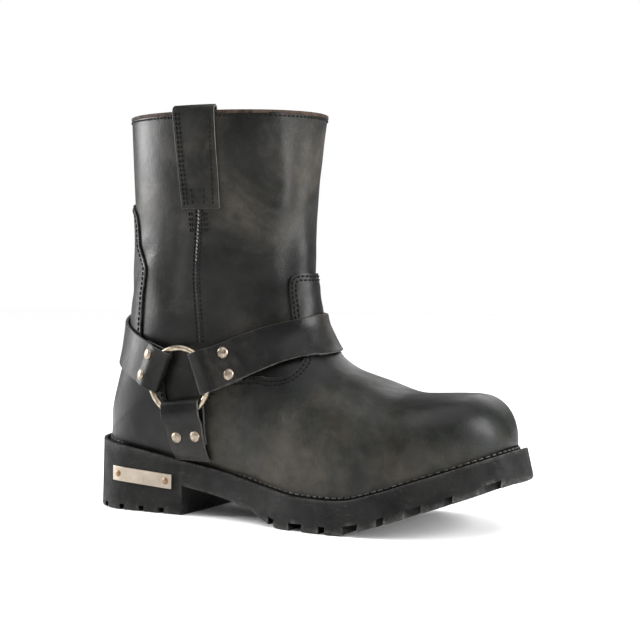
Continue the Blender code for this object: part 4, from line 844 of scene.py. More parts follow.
def smoothLine(points, steps):
    # A rounded line through the points, closer than they are
    points = [np.array(p, float) for p in points]
    ends = [2 * points[0] - points[1]] + points + [2 * points[-1] - points[-2]]
    line = []
    for a, b, c, d in zip(ends, ends[1:], ends[2:], ends[3:]):
        for k in range(steps):
            t = k / steps
            line.append(0.5 * (2 * b + (c - a) * t + (2 * a - 5 * b + 4 * c - d) * t * t
                               + (3 * b - a - 3 * c + d) * t ** 3))
    return line + [points[-1]]


def sideLine(rows, steps=5):
    return smoothLine([(footX(along), up * last["collarHeight"]) for along, up in rows], steps)


def makeShell(name):
    inner = grid + normals * last["gap"]
    outer = grid + normals * overlayFace
    for form, distance in ((inner, last["gap"]), (outer, overlayFace)):
        for column in (0, -1):
            for i in range(footCount):
                foot = levelShift(grid[i, column], normals[i, column], distance)
                form[i, column] = (foot.x, foot.y, featherHeight(foot.x))
        form[0, :, 2] = featherHeight(form[0, 0, 0])
    grids = [(outer, 0), (inner, 0), ([outer[-1], inner[-1]], 0)]
    for column in (0, -1):
        grids.append(([inner[:footCount, column], outer[:footCount, column]], 0))
    return fromGrids(name, grids, [leather, cutEdge], 50)


# The vamp's cut-out round the zip: shares of the length and of the collar's height, and two sizes
vampNotch = {"back": 0.28, "front": 0.428, "below": 8 * mm, "corner": 6 * mm, "up": 0.5, "cutFrom": 5 * mm}
shell = {"past": 40 * mm, "under": -10 * mm, "softEdge": 0.45 * mm}


def shellPart(name, edge, far):  # the shell from its edge line to beyond the toe or the heel
    piece = makeShell(name)
    shape = [tuple(p) for p in sideLine(edge)]
    shape += [(far, shape[-1][1]), (far, shell["under"]), (shape[0][0], shell["under"])]
    cutWith(piece, prism(shape, -last["ballWidth"], last["ballWidth"], cutEdge), "INTERSECT")
    return piece


def notchOutline():  # the vamp stops short of the zip
    lowX = footX(vampNotch["back"])
    highX = footX(vampNotch["front"])
    lowZ = zipSize["low"] - vampNotch["below"]
    highZ = last["collarHeight"] * vampNotch["up"]
    corner = vampNotch["corner"]
    notch = [(lowX, lowZ)]
    for k in range(9):
        turn = -0.5 * math.pi + 0.5 * math.pi * k / 8
        notch.append((highX - corner + corner * math.cos(turn), lowZ + corner + corner * math.sin(turn)))
    return notch + [(highX, highZ), (lowX, highZ)]


vamp = shellPart("vampLeather", vampEdge, toeTip + shell["past"])
cutWith(vamp, prism(notchOutline(), vampNotch["cutFrom"], last["ballWidth"], cutEdge))
keep(vamp, "boot", "vamp", slot="black_leather")
counter = shellPart("counterLeather", counterEdge, heelBack - shell["past"])
keep(counter, "boot", "counter", slot="black_leather")
for piece in (vamp, counter):
    softEdges(piece, shell["softEdge"], 2, 60, 45)
print("vamp and counter made:", len(vamp.data.polygons), len(counter.data.polygons), "faces")


def flareAt(x):
    return sole["flare"] * ease((x - sole["breastAt"]) / sole["flareRun"]) + sole["heelFlare"]


soleMiddle = middleStations(64, True)


def soleLevel(extra, height):
    sides = []
    heel = sole["heelMargin"] + extra(heelBack)
    toe = sole["toeMargin"] + extra(toeTip)
    for side in (-1, 1):
        line = []
        for x in stations(heel, toe, soleMiddle):
            y = centreY(x) + side * halfWidth(x, side, heel, sole["sideMargin"] + extra(x), toe)
            line.append((x, y, height(x)))
        sides.append(np.array(line))
    return sides


def stacked(name, levels, materials, closed=False, sharpAngle=40):
    grids = []
    for which in (0, 1):
        rows = [level[which] for level in levels]
        grids.append((rows + [rows[0]] if closed else rows, 0))
    if not closed:
        for level in (levels[0], levels[-1]):
            across = [level[0] + (level[1] - level[0]) * share for share in np.linspace(0, 1, 9)]
            grids.append((across, 0))
    return fromGrids(name, grids, materials, sharpAngle)


def notchBox(bm, x, width, reach, depth, side):
    flank = sole["sideMargin"] + flareAt(x)
    middle = halfWidth(x, side, sole["heelMargin"], flank, sole["toeMargin"])
    outside = side * (middle + sole["notchPast"]) + centreY(x)
    inside = side * max(middle - reach, sole["leastReach"]) + centreY(x)
    corners = []
    for end in (x - width / 2, x + width / 2):
        for y in (inside, outside):
            for z in (underHeight(end) - sole["notchUnder"], underHeight(end) + depth):
                corners.append(bm.verts.new((end, y, z)))
    for face in ((0, 1, 3, 2), (4, 6, 7, 5), (0, 4, 5, 1), (2, 3, 7, 6), (0, 2, 6, 4), (1, 5, 7, 3)):
        bm.faces.new([corners[k] for k in face])


def makeOutsole():
    bevel, rimRound, rim, soft = sole["edge"], sole["rimRound"], sole["rimWidth"], sole["softRim"]

    def recess(x):
        return weltTop(x) - sole["weltThickness"] - last["gap"]

    def between(share):
        return lambda x: (underHeight(x) + bevel) * (1 - share) + (rimHeight(x) - rimRound) * share

    levels = [soleLevel(lambda x: flareAt(x) - bevel, underHeight),
              soleLevel(lambda x: flareAt(x) - bevel * 0.3, lambda x: underHeight(x) + bevel * 0.3)]
    for share in np.linspace(0, 1, 7):
        levels.append(soleLevel(lambda x, s=share: flareAt(x) * (1 - s), between(share)))
    levels += [soleLevel(lambda x: -rimRound * 0.3, lambda x: rimHeight(x) - rimRound * 0.3),
               soleLevel(lambda x: -rimRound, rimHeight), soleLevel(lambda x: -rim + soft, rimHeight),
               soleLevel(lambda x: -rim, lambda x: rimHeight(x) - soft), soleLevel(lambda x: -rim, recess)]
    outsole = stacked("rubberOutsole", levels, [rubber])
    bm = bmesh.new()
    for side in (-1, 1):
        for k in range(sole["notchCount"]):
            kind = "Wide" if k % 2 == 1 else "Narrow"
            notchBox(bm, sole["notchStart"] + k * sole["notchPitch"], sole["notch" + kind],
                     sole["reach" + kind], sole["lugDepth"], side)
        for k in range(sole["heelNotchCount"]):
            notchBox(bm, sole["heelNotchStart"] + k * sole["heelNotchPitch"], sole["heelNotchWidth"],
                     sole["heelNotchReach"], sole["heelLugDepth"], side)
    bmesh.ops.recalc_face_normals(bm, faces=bm.faces)
    cutWith(outsole, addObject("notches", meshFrom(bm, "notches"), []))
    return outsole


outsole = makeOutsole()
soleForm = pieceTree(outsole)
shadeSmooth(outsole.data, 38)
keep(outsole, "boot", "outsole", slot="black_rubber")


welt = {"lean": 5.0 * mm, "softEdge": 0.5 * mm, "seamAt": 0.6}  # seamAt: share from rim to upper


def weltLean(x):
    return weltTop(x) + welt["lean"]


def makeWelt():
    outside = -sole["rimWidth"] - last["gap"]
    tuck = -sole["weltTuck"]
    low = lambda x: weltTop(x) - sole["weltThickness"]
    levels = [soleLevel(lambda x: outside, low),
              soleLevel(lambda x: outside, lambda x: weltTop(x) - welt["softEdge"]),
              soleLevel(lambda x: outside - welt["softEdge"], weltTop),
              outline(overlayFace, overlayFace, overlayFace, weltLean, soleMiddle),
              outline(tuck, tuck, tuck, weltLean, soleMiddle), outline(tuck, tuck, tuck, low, soleMiddle)]
    return stacked("weltStrip", levels, [weltLeatherPaintedShade], closed=True)


keep(makeWelt(), "boot", "welt", slot="welt_leather")

insoleSize = {"thickness": 3 * mm, "room": 1.4 * mm, "soft": 0.6 * mm}


def makeInsole():
    edge = -last["wall"] - insoleSize["room"]
    low = lambda x: featherHeight(x) + last["wall"] + last["gap"]
    high = lambda x: low(x) + insoleSize["thickness"]
    middle = middleStations(40)
    soft = insoleSize["soft"]
    levels = [outline(edge, edge, edge, low, middle),
              outline(edge, edge, edge, lambda x: high(x) - soft, middle),
              outline(edge - soft, edge - soft, edge - soft, high, middle)]
    return stacked("sockInsole", levels, [lining])


keep(makeInsole(), "boot", "insole", slot="lining")
print("outsole, welt and insole made")


strap = {"width": 28.5 * mm, "thickness": 2.2 * mm, "room": 0.7 * mm, "across": 10, "softEdge": 0.45 * mm,
         "rivetRadius": 4 * mm, "rivetHeight": 1.8 * mm, "rivetSink": 0.15 * mm,
         "secondRow": 2 * mm, "beforeWire": 3 * mm, "pastWire": 7 * mm, "endShort": 4 * mm, "landing": 24 * mm,
         "landingRows": (2 * mm, 8 * mm, 14 * mm, 20 * mm), "rowSteps": 3,
         "evenRows": (15, 30), "evenPasses": 260}
ring = {"radius": 22.3 * mm, "wire": 2.0 * mm, "shaftMiddle": 55 * mm}
strapRest = strap["room"] + strap["thickness"] / 2  # a strap's middle over the leather


def nodeFrame(name):  # middle of a CAD node and the direction in which it is flattest, outwards
    points = np.array([v.co[:] for v in frame["nodes"][name].data.vertices])
    centre = points.mean(axis=0)
    axis = np.linalg.svd(points - centre, full_matrices=False)[2][2]
    if np.dot(axis, centre - np.array((ring["shaftMiddle"], 0, centre[2]))) < 0:
        axis = -axis
    return Vector(centre), Vector(axis)


ringCentre, ringOut = nodeFrame("harness_ring")
ringAlong = Vector((-ringOut.y, ringOut.x, 0)).normalized()
if ringAlong.x < 0:
    ringAlong = -ringAlong
ringUp = ringOut.cross(ringAlong)
if ringUp.z < 0:
    ringUp = -ringUp


def makeRing():
    for item in bpy.context.selected_objects:
        item.select_set(False)
    turn = ringOut.to_track_quat("Z", "Y").to_euler()
    bpy.ops.mesh.primitive_torus_add(location=ringCentre, rotation=turn, major_radius=ring["radius"],
                                     minor_radius=ring["wire"], major_segments=120, minor_segments=24)
    item = bpy.context.object
    item.name = "ringWire"
    item.data.materials.append(metals["paleBrass"])
    bakePlace(item)
    selectOnly(item)
    bpy.ops.object.shade_smooth()
    return item


keep(makeRing(), "ring", "harness_ring", slot="aged_brass")

# Turn round the ring in degrees, and the inner end's distance from its middle
atRing = {"strapFront": (20, 43 * mm), "strapBack": (157, 35 * mm), "strapLow": (276, 44 * mm)}
# Rows of a strap: turn round its axis in degrees, height as a share of the instep's, and lean
frontRows = [(-47, 0.888, 0.00), (-34, 0.920, 0.00), (-18, 0.957, 0.00), (0, 0.984, 0.00), (18, 0.985, 0.00),
             (34, 0.960, 0.00), (52, 0.937, 0.00)]
backRows = [(246, 0.860, 0.00), (230, 0.890, 0.00), (214, 0.925, 0.01), (197, 0.955, 0.02),
            (180, 0.985, 0.03), (163, 1.015, 0.03), (146, 1.045, 0.03), (126, 1.050, 0.02),
            (106, 1.025, 0.01), (84, 0.992, 0.00), (64, 0.965, 0.00), (51, 0.952, 0.00)]
frontAxis = 60 * mm
backAxis = 30 * mm
lowEnd = {"x": 54.5 * mm, "overFeather": 2.5 * mm, "landingRow": 1 * mm, "rowSteps": 4, "heldRows": 6,
          "evenPasses": 90}


def acrossShares():
    return np.linspace(-0.5, 0.5, strap["across"] + 1)


def spotRow(points, facings, outs, least):
    return {"point": np.array(points), "facing": np.array(facings), "out": np.array(outs), "least": least}


def ringRows(shape, landing):
    # From the inner end, under the ring, round its wire and back over the first layer
    angle = math.radians(shape[0])
    end = shape[1]
    direction = ringAlong * math.cos(angle) + ringUp * math.sin(angle)
    sideways = ringOut.cross(direction)
    bulge = ring["wire"] + 2 * last["gap"] + strap["thickness"] / 2
    overWire = ring["radius"] + ring["wire"] + 2 * last["gap"]
    fold = math.sqrt(ring["radius"] ** 2 - (strap["width"] / 2) ** 2) - last["gap"]

    def acrossAt(distance):
        return [ringCentre + direction * distance + sideways * (share * strap["width"])
                for share in acrossShares()]

    def onForm(distance, height, sign=1):
        points, outs = asLine([seatOver(dressedForm, start, ringOut, "ring") for start in acrossAt(distance)])
        return spotRow([p + n * height for p, n in zip(points, outs)], [n * sign for n in outs], outs, height)

    def inPlane(distance, shift, facing):
        points = [p + shift for p in acrossAt(distance)]
        return spotRow(points, [facing] * len(points), [ringOut] * len(points), 0)

    low = strapRest
    high = strap["room"] + last["gap"] + 1.5 * strap["thickness"]
    rows = [onForm(distance, low, -1) for distance in (end, (end + overWire) / 2 + strap["secondRow"])]
    rows += [inPlane(distance, ringOut * -bulge, -ringOut)
             for distance in (overWire - strap["beforeWire"], fold)]
    for turn in (-60, -30, 0, 30, 60):
        facing = ringOut * math.sin(math.radians(turn)) - direction * math.cos(math.radians(turn))
        rows.append(inPlane(fold, facing * bulge, facing))
    rows += [inPlane(distance, ringOut * bulge, ringOut) for distance in (fold, overWire)]
    rows += [onForm(distance, high) for distance in (overWire + strap["pastWire"], end - strap["endShort"])]
    for past in landing:
        share = ease((past + strap["endShort"]) / strap["landing"])
        rows.append(onForm(end + past, high + (low - high) * share))
    return rows


def roundRows(table, axisX, steps):
    turns = [row[0] for row in table]
    order = 1 if turns[-1] > turns[0] else -1
    knots = [order * turn for turn in turns]

    def centreAt(turn):
        up = last["instepHeight"] * smoothAt(knots, [row[1] for row in table], order * turn)
        return seatRound(dressedForm, axisX, turn, up)

    rows = []
    for turn in np.linspace(turns[0], turns[-1], steps):
        here, normal = centreAt(turn)
        run = (centreAt(turn + 3)[0] - centreAt(turn - 3)[0]).normalized()
        across = normal.cross(run).normalized()
        if across.z < 0:
            across = -across
        lean = smoothAt(knots, [row[2] for row in table], order * turn)
        points, facings = [], []
        for share in acrossShares():
            target = here + across * (share * strap["width"])
            degrees = math.degrees(math.atan2(target.y, target.x - axisX))
            p, n = seatRound(dressedForm, axisX, degrees, target.z)
            points.append(p + n * (strapRest + lean * strap["width"] * (share + 0.5)))
            facings.append(n)
        rows.append(spotRow(points, facings, facings, strapRest))
    return rows


def matched(rows, more):
    # The next rows run the same way across as the ones before
    edge = rows[-1]["point"][0]
    if np.linalg.norm(edge - more[0]["point"][0]) > np.linalg.norm(edge - more[0]["point"][-1]):
        more = [dict(row, **{key: row[key][::-1] for key in ("point", "facing", "out")}) for row in more]
    return rows + more


def refined(rows, steps):
    # More rows between the given ones, along a rounded line
    out = {key: np.array(smoothLine([row[key] for row in rows], steps))
           for key in ("point", "facing", "out")}
    for key in ("facing", "out"):
        out[key] /= np.linalg.norm(out[key], axis=2, keepdims=True)
    at = np.arange(len(out["point"])) / steps
    least = np.interp(at, np.arange(len(rows)), [row["least"] for row in rows])
    free = np.array([row["least"] <= 0 for row in rows], float)
    held = np.interp(at, np.arange(len(rows)), free) == 0
    return out, np.where(held, least, 0)


def liftClear(lines, least, spare=0.35 * mm):
    # Spots that the smoothing has sunk into the leather below come up again
    for i in range(len(least)):
        if least[i] <= 0:
            continue
        for j in range(lines["point"].shape[1]):
            p, out = Vector(lines["point"][i, j]), Vector(lines["out"][i, j])
            short = least[i] - spare - (p - seatOver(topForm, p, out, "leather")[0]).dot(out)
            if short > 0:
                lines["point"][i, j] += np.array(out) * short
    return lines


def evened(values, first, final, passes):
    values = values.copy()
    for _ in range(passes):
        beside = values[first - 1:final - 1] + values[first + 1:final + 1]
        values[first:final] = 0.5 * values[first:final] + 0.25 * beside
    return values


def eased(lines, first, final, passes):
    # Rows of a strap evened out along it, over the leather at evened heights
    points, outs = lines["point"], lines["out"]

    def under(p, out):
        return np.array(seatOver(dressedForm, p, out, "leather")[0])

    count = min(final, len(points) - 1)
    heights = np.zeros(points.shape[:2])
    for i in range(first - 1, count + 1):
        for j in range(points.shape[1]):
            heights[i, j] = np.dot(points[i, j] - under(points[i, j], outs[i, j]), outs[i, j])
    heights = evened(heights, first, count, passes)
    moved = evened(points, first, count, passes)
    for i in range(first, count):
        for j in range(points.shape[1]):
            points[i, j] = under(moved[i, j], outs[i, j]) + outs[i, j] * heights[i, j]
    return lines


def strapFromLines(name, lines, least):
    lines = liftClear(lines, least)
    half = lines["facing"] * (strap["thickness"] / 2)
    item = slab(name, lines["point"] + half, lines["point"] - half, [strapLeather, cutEdge])
    return softEdges(item, strap["softEdge"], 2, 50, 40)


def roundStrap(name, table, axisX, steps):
    rows = ringRows(atRing[name], strap["landingRows"])
    lines, least = refined(matched(rows, roundRows(table, axisX, steps)), strap["rowSteps"])
    join = (len(rows) - 1) * strap["rowSteps"]
    before, after = strap["evenRows"]
    return strapFromLines(name, eased(lines, join - before, join + after, strap["evenPasses"]), least)


def lowStrap():
    rows = ringRows(atRing["strapLow"], (lowEnd["landingRow"],))
    start = rows[-1]["point"].mean(axis=0)
    stopZ = featherHeight(lowEnd["x"]) + overlayFace + lowEnd["overFeather"]
    high = (Vector(start) - seatOver(dressedForm, start, ringOut, "leather")[0]).dot(ringOut)
    more = []
    for share in (0.2, 0.4, 0.6, 0.8, 1.0):
        z = start[2] + (stopZ - start[2]) * share
        x = start[0] + (lowEnd["x"] - start[0]) * share
        height = high + (strapRest - high) * ease(share)
        points, facings = asLine([seatSide(dressedForm, x + part * strap["width"], z, -1)
                                  for part in acrossShares()])
        more.append(spotRow([p + n * height for p, n in zip(points, facings)], facings, facings, strapRest))
    steps = lowEnd["rowSteps"]
    lines, least = refined(matched(rows, more), steps)
    final = len(lines["point"]) - lowEnd["heldRows"]
    lines = eased(lines, (len(rows) - 3) * steps, final, lowEnd["evenPasses"])
    return strapFromLines("strapLow", lines, least)


straps = {"strap_front": roundStrap("strapFront", frontRows, frontAxis, 26),
          "strap_back": roundStrap("strapBack", backRows, backAxis, 44), "strap_low": lowStrap()}
for node, item in straps.items():
    keep(item, "boot", node, slot="strap_leather")
print("straps and ring made")


def rivetShape():
    # A low dome with a thin flange, 1 across, to be scaled at each place
    bpy.ops.object.select_all(action="DESELECT")
    bpy.ops.mesh.primitive_uv_sphere_add(segments=28, ring_count=16, radius=1.0, location=(0, 0, 0))
    return template(editWhole(bpy.context.object, bpy.ops.mesh.bisect, plane_co=(0, 0, 0.02),
                              plane_no=(0, 0, 1), clear_inner=True, use_fill=True))


rivetTemplate = rivetShape()


def rivetAt(node, form, radius, height, metal):
    centre, axis = nodeFrame(node)
    p = seatOver(form, centre, axis, "rivet")[0]
    side = axis.orthogonal().normalized()
    sink = strap["rivetSink"]
    place = (p - axis * sink, side * radius, axis.cross(side) * radius, axis * (height + sink))
    item = repeat(node.replace("_rivet_", "Rivet"), rivetTemplate, [place], metals[metal], 60)
    return keep(item, "boot", node, slot="pewter")


for node in sorted(frame["nodes"]):
    if "_rivet_" in node:
        form = pieceTree(straps[node.split("_rivet_")[0]])
        rivetAt(node, form, strap["rivetRadius"], strap["rivetHeight"], "agedPewter")

# width is the loop's own at the collar, and narrow is what it loses on the way down
loop = {"x": 65.5 * mm, "width": 31 * mm, "narrow": 5 * mm, "thickness": 2.0 * mm, "low": 208 * mm,
        "rise": 4.5 * mm, "inside": 34 * mm, "turnAt": 2 * mm, "softEdge": 0.4 * mm}


def loopX(share, z):  # share runs from the back edge to the front one
    down = (last["collarHeight"] - z) / (last["collarHeight"] - loop["low"])
    left = loop["x"] - loop["width"] / 2 + loop["narrow"] * max(down, 0)
    return left + share * (loop["x"] + loop["width"] / 2 - left)


def makeLoop():
    # Up the outside, over the collar in a round fold and down the inside
    half = loop["thickness"] / 2
    outside = 2 * last["gap"] + half
    inside = -(last["wall"] + 2 * last["gap"] + half)
    columns = []
    collar = last["collarHeight"]
    for share in np.linspace(0, 1, 13):
        points, facings = [], []
        for z in np.linspace(loop["low"], collar - loop["turnAt"], 26):
            p, n = seatSide(baseForm, loopX(share, z), z, -1)
            points.append(p + n * outside)
            facings.append(n)
        level = Vector((n.x, n.y, 0)).normalized()
        radius = (outside - inside) / 2
        middle = p + level * (outside - radius)
        middle.z = collar + loop["rise"] - radius - half
        for degrees in np.linspace(0, 180, 13):
            ray = level * math.cos(math.radians(degrees)) + Vector((0, 0, math.sin(math.radians(degrees))))
            points.append(middle + ray * radius)
            facings.append(ray)
        for z in np.linspace(collar - loop["inside"] / 4, collar - loop["inside"], 10):
            p, n = seatSide(baseForm, loopX(share, collar), z, -1)
            points.append(p + n * inside)
            facings.append(-n)
        columns.append((np.array(points), np.array(facings)))
    item = slab("pullLoop", [p + f * half for p, f in columns], [p - f * half for p, f in columns],
                [shaftLeather, cutEdge])
    return softEdges(item, loop["softEdge"], 2, 50, 40)


pullLoop = keep(makeLoop(), "boot", "pull_loop", slot="strap_leather")


# The leather's edge folded over the collar
binding = {"drop": 1.9 * mm, "proud": 0.35 * mm, "rise": 0.5 * mm, "thin": 0.3 * mm, "zipRoom": 0.8 * mm}


def makeBinding():
    top, topNormals = grid[-1], normals[-1]
    half = zipSize["slot"] / 2 + binding["zipRoom"]
    zipMiddle = zipX(last["collarHeight"])
    held = [i for i in range(len(top)) if not (top[i][1] > 0 and abs(top[i][0] - zipMiddle) < half)]
    gapAt = next(k for k in range(len(held) - 1) if held[k + 1] - held[k] > 1)
    verts = []
    bm = bmesh.new()
    for i in held[gapAt + 1:] + held[1:gapAt + 1]:
        level = np.array((topNormals[i][0], topNormals[i][1], 0))
        level /= np.linalg.norm(level)
        outside = top[i] + level * binding["proud"]
        inside = top[i] - level * (last["wall"] + binding["proud"])
        low = np.array((0, 0, -binding["drop"]))
        crown = np.array((0, 0, binding["rise"]))
        middle = (outside + inside) / 2
        edge, back = level * binding["thin"], level * (binding["proud"] + binding["thin"])
        section = [outside + low - edge, outside + low * 0.9, outside + low * 0.4, outside + crown * 0.2,
                   outside * 0.75 + inside * 0.25 + crown, middle + crown * 1.2,
                   outside * 0.25 + inside * 0.75 + crown, inside + crown * 0.2, inside + low * 0.4,
                   inside + low * 0.9, inside + low + edge, inside + low + back, middle - crown * 1.6,
                   outside + low - back]
        verts.append([bm.verts.new(p) for p in section])
    for one, two in zip(verts, verts[1:]):
        for j in range(len(one)):
            after = (j + 1) % len(one)
            bm.faces.new((one[j], one[after], two[after], two[j]))
    bm.faces.new(verts[0])
    bm.faces.new(verts[-1])
    bmesh.ops.recalc_face_normals(bm, faces=bm.faces)
    return addObject("collarBinding", shadeSmooth(meshFrom(bm, "collarBinding"), 60), [foldedEdge])


keep(makeBinding(), "boot", slot="black_leather")
print("loop and collar made")


def sheetRows(heights, shares, spotAt, front, back):
    # Two grids of points at two distances from a form, for a slab
    outer, inner = [], []
    for height in heights:
        spots = [spotAt(height, share) for share in shares]
        outer.append([p + n * front for p, n in spots])
        inner.append([p + n * back for p, n in spots])
    return outer, inner


def zipTape():
    near = -last["wall"] - 2 * last["gap"]
    heights = np.linspace(zipSize["low"] - zipSize["tapeLow"],
                          last["collarHeight"] - zipSize["tapeShort"], 60)
    return slab("zipTape", *sheetRows(
        heights, np.linspace(-0.5, 0.5, 9),
        lambda z, share: seatSide(baseForm, zipX(z) + share * zipSize["tapeWidth"], z, 1),
        near, near - zipSize["tapeThickness"]), [tapeCloth])


def toothShape():  # a narrow block with its edges taken off
    bpy.ops.object.select_all(action="DESELECT")
    bpy.ops.mesh.primitive_cube_add(size=1.0, location=(0, 0, 0))
    item = bpy.context.object
    item.scale = (zipSize["toothWidth"], zipSize["toothHeight"], zipSize["toothDepth"])
    bakePlace(item)
    edge = zipSize["toothEdge"]
    return template(editWhole(item, bpy.ops.mesh.bevel, offset=edge, segments=1, affect="EDGES"))


def zipTeeth():
    places = []
    z = zipSize["low"] + zipSize["toothStart"]
    side = 1
    depth = -last["wall"] - 2 * last["gap"] + zipSize["toothRise"]
    while z < zipSize["sliderTop"] - zipSize["sliderHeight"] - zipSize["toothStop"]:
        p, n = seatSide(baseForm, zipX(z), z, 1)
        higher = z + zipSize["toothRun"]
        above = seatSide(baseForm, zipX(higher), higher, 1)[0]
        up = (above - p).normalized()
        across = up.cross(n).normalized()
        places.append((p + n * depth + across * (side * zipSize["toothHeight"]), across, up, n))
        z += zipSize["toothPitch"] / 2
        side = -side
    return repeat("zipTeeth", toothShape(), places, metals["toothBrass"], 30)


keep(zipTape(), "boot", "zip_tape", slot="zip_tape")
keep(zipTeeth(), "boot", "zip_teeth", slot="aged_brass")


def nodeCopy(node, name, bevel):
    mesh = frame["nodes"][node].data.copy()
    mesh.name = name
    mesh.materials.clear()
    item = addObject(name, mesh, [metals["agedNickel"]])
    editWhole(item, bpy.ops.mesh.remove_doubles, threshold=0.00001)
    editWhole(item, bpy.ops.mesh.dissolve_limited, angle_limit=math.radians(2))
    return softEdges(item, bevel, 3, 25, 50)


keep(nodeCopy("zip_slider", "zipSlider", zipSize["sliderEdge"]), "boot", "zip_slider", slot="aged_nickel")
keep(nodeCopy("zip_pull", "zipPull", zipSize["pullEdge"]), "pull_tab", "zip_pull", slot="aged_nickel")
print("zip made")


plate = {"length": 50 * mm, "width": 10 * mm, "thickness": 1.2 * mm, "start": -12.4 * mm, "height": 25.6 * mm,
         "slope": math.radians(-3.8), "softEdge": 0.35 * mm, "studRadius": 2.4 * mm, "studHeight": 1.0 * mm}


def plateSpot(distance, share):
    x = plate["start"] + distance * math.cos(plate["slope"])
    z = plate["height"] + distance * math.sin(plate["slope"]) + share * plate["width"]
    return seatSide(soleForm, x, z, -1)


def makePlate():
    grids = sheetRows(np.linspace(0, plate["length"], 26), np.linspace(-0.5, 0.5, 5), plateSpot,
                      last["gap"] + plate["thickness"], last["gap"])
    item = slab("heelPlate", *grids, [metals["plateMetal"]])
    return softEdges(item, plate["softEdge"], 3, 50, 40)


heelPlate = keep(makePlate(), "boot", "heel_plate", slot="pewter")
plateForm = pieceTree(heelPlate)
for node in ("plate_stud_1", "plate_stud_2"):
    rivetAt(node, plateForm, plate["studRadius"], plate["studHeight"], "studBronze")
print("heel plate made")

stitch = {"radius": 0.62 * mm, "sink": 0.1 * mm, "slant": 0.0, "thread": "blackThread"}
seams = {  # each seam's stitch, where it differs from the one above
    "vampStitches": {"length": 2.5 * mm, "pitch": 3.3 * mm},
    "counterStitches": {"length": 2.6 * mm, "pitch": 3.5 * mm},
    "collarStitches": {"length": 2.2 * mm, "pitch": 3.1 * mm, "thread": "collarThread"},
    "seamThreadPaintedHighlight": {"length": 1.9 * mm, "pitch": 2.4 * mm, "radius": 0.55 * mm, "slant": 0.45,
                   "thread": "paleThreadPaintedHighlight"},
    "seamDarkThread": {"length": 1.9 * mm, "pitch": 2.4 * mm, "radius": 0.5 * mm, "slant": 0.45,
                       "thread": "dullThread"},
    "seamStitches": {"length": 2.2 * mm, "pitch": 3.0 * mm},
    "loopStitches": {"length": 2.3 * mm, "pitch": 3.1 * mm},
    "loopTackStitches": {"length": 2.2 * mm, "pitch": 3.0 * mm},
    "zipStitches": {"length": 2.3 * mm, "pitch": 3.1 * mm},
    "weltStitches": {"length": 3.4 * mm, "pitch": 4.8 * mm, "radius": 0.45 * mm, "thread": "greyThread"},
}


def stitchShape():
    # One stitch 1 long and 1 thick: a six-sided rod with rounded ends
    bpy.ops.object.select_all(action="DESELECT")
    bpy.ops.mesh.primitive_cylinder_add(vertices=6, radius=1.0, depth=0.7, rotation=(0, math.pi / 2, 0))
    item = bpy.context.object
    bakePlace(item)
    for sign in (1, -1):
        bpy.ops.object.mode_set(mode="EDIT")
        bpy.ops.mesh.select_mode(type="FACE")
        bpy.ops.mesh.select_all(action="DESELECT")
        bpy.ops.object.mode_set(mode="OBJECT")
        for face in item.data.polygons:
            face.select = face.normal.x * sign > 0.9
        bpy.ops.object.mode_set(mode="EDIT")
        bpy.ops.mesh.extrude_region_move(TRANSFORM_OT_translate={"value": (0.15 * sign, 0, -0.35)})
        bpy.ops.transform.resize(value=(1, 0.5, 0.5))
        bpy.ops.object.mode_set(mode="OBJECT")
    return template(item)


stitchTemplate = stitchShape()


def alongSeam(points, facings, pitch, beside=0.5 * mm):
    # Even spots along a line of seated points: point, run and normal
    points, facings = np.array(points), np.array(facings)
    run = np.concatenate([[0], np.cumsum(np.linalg.norm(np.diff(points, axis=0), axis=1))])
    count = max(int(run[-1] / pitch), 1)

    def valueAt(at, values):
        return np.array([np.interp(at, run, values[:, c]) for c in range(3)])

    places = []
    for k in range(count):
        at = (k + 0.5) * run[-1] / count
        n = valueAt(at, facings)
        t = valueAt(at + beside, points) - valueAt(at - beside, points)
        t = t / max(np.linalg.norm(t), 1e-9)
        n = n - t * np.dot(n, t)
        places.append((valueAt(at, points), t, n / np.linalg.norm(n)))
    return places


def shifted(form, points, facings, distance):
    # A line moved sideways along its surface; above 0 is to the left of its run, seen from outside
    points = np.array(points)
    spots = []
    for p, t, n in zip(points, np.gradient(points, axis=0), facings):
        side = np.cross(np.array(n), t / max(np.linalg.norm(t), 1e-12))
        start = Vector(p + side * distance)
        out = Vector(n)
        if form[0].ray_cast(start + out * lookFrom["seam"], -out)[0] is not None:
            spots.append(seatOver(form, start, out, "seam"))
    return asLine(spots)


def sew(name, lines):
    look = dict(stitch, **seams[name])
    radius = look["radius"]
    places = []
    for points, facings in lines:
        for p, t, n in alongSeam(points, facings, look["pitch"]):
            along = t * math.cos(look["slant"]) + np.cross(n, t) * math.sin(look["slant"])
            places.append((p + n * (radius * 0.35 - stitch["sink"]), along * look["length"],
                           np.cross(n, along) * radius, n * radius))
    return keep(repeat(name, stitchTemplate, places, threads[look["thread"]], 80), "boot")


def seatLine(form, line, side):  # without the places beyond the form's edge
    away = Vector((0, -side, 0))
    return asLine([seatSide(form, x, z, side) for x, z in line
                   if form[0].ray_cast(Vector((x, side * lookFrom["far"], z)), away)[0] is not None])


def tabTop(form):
    # The vamp tab's top, across the front from the lateral corner to the medial one
    height = vampEdge[-1][1] * last["collarHeight"]
    corner = seatSide(form, footX(vampEdge[-1][0]), height, -1)[0]
    half = math.degrees(math.atan2(-corner.y, corner.x - frontAxis))
    return asLine([seatRound(form, frontAxis, degrees, height) for degrees in np.linspace(-half, half, 24)])


edgeSeam = {"vampRows": (2.0 * mm, 4.6 * mm), "vampFrom": 0.30, "counterRow": 2.4 * mm, "counterTo": 0.285,
            "collarDrop": 3.2 * mm, "collarFromZip": 3 * mm, "zipUp": 4 * mm, "zipShort": 5 * mm,
            "zipRows": (-12.2 * mm, -9.2 * mm, 9.2 * mm, 12.2 * mm)}


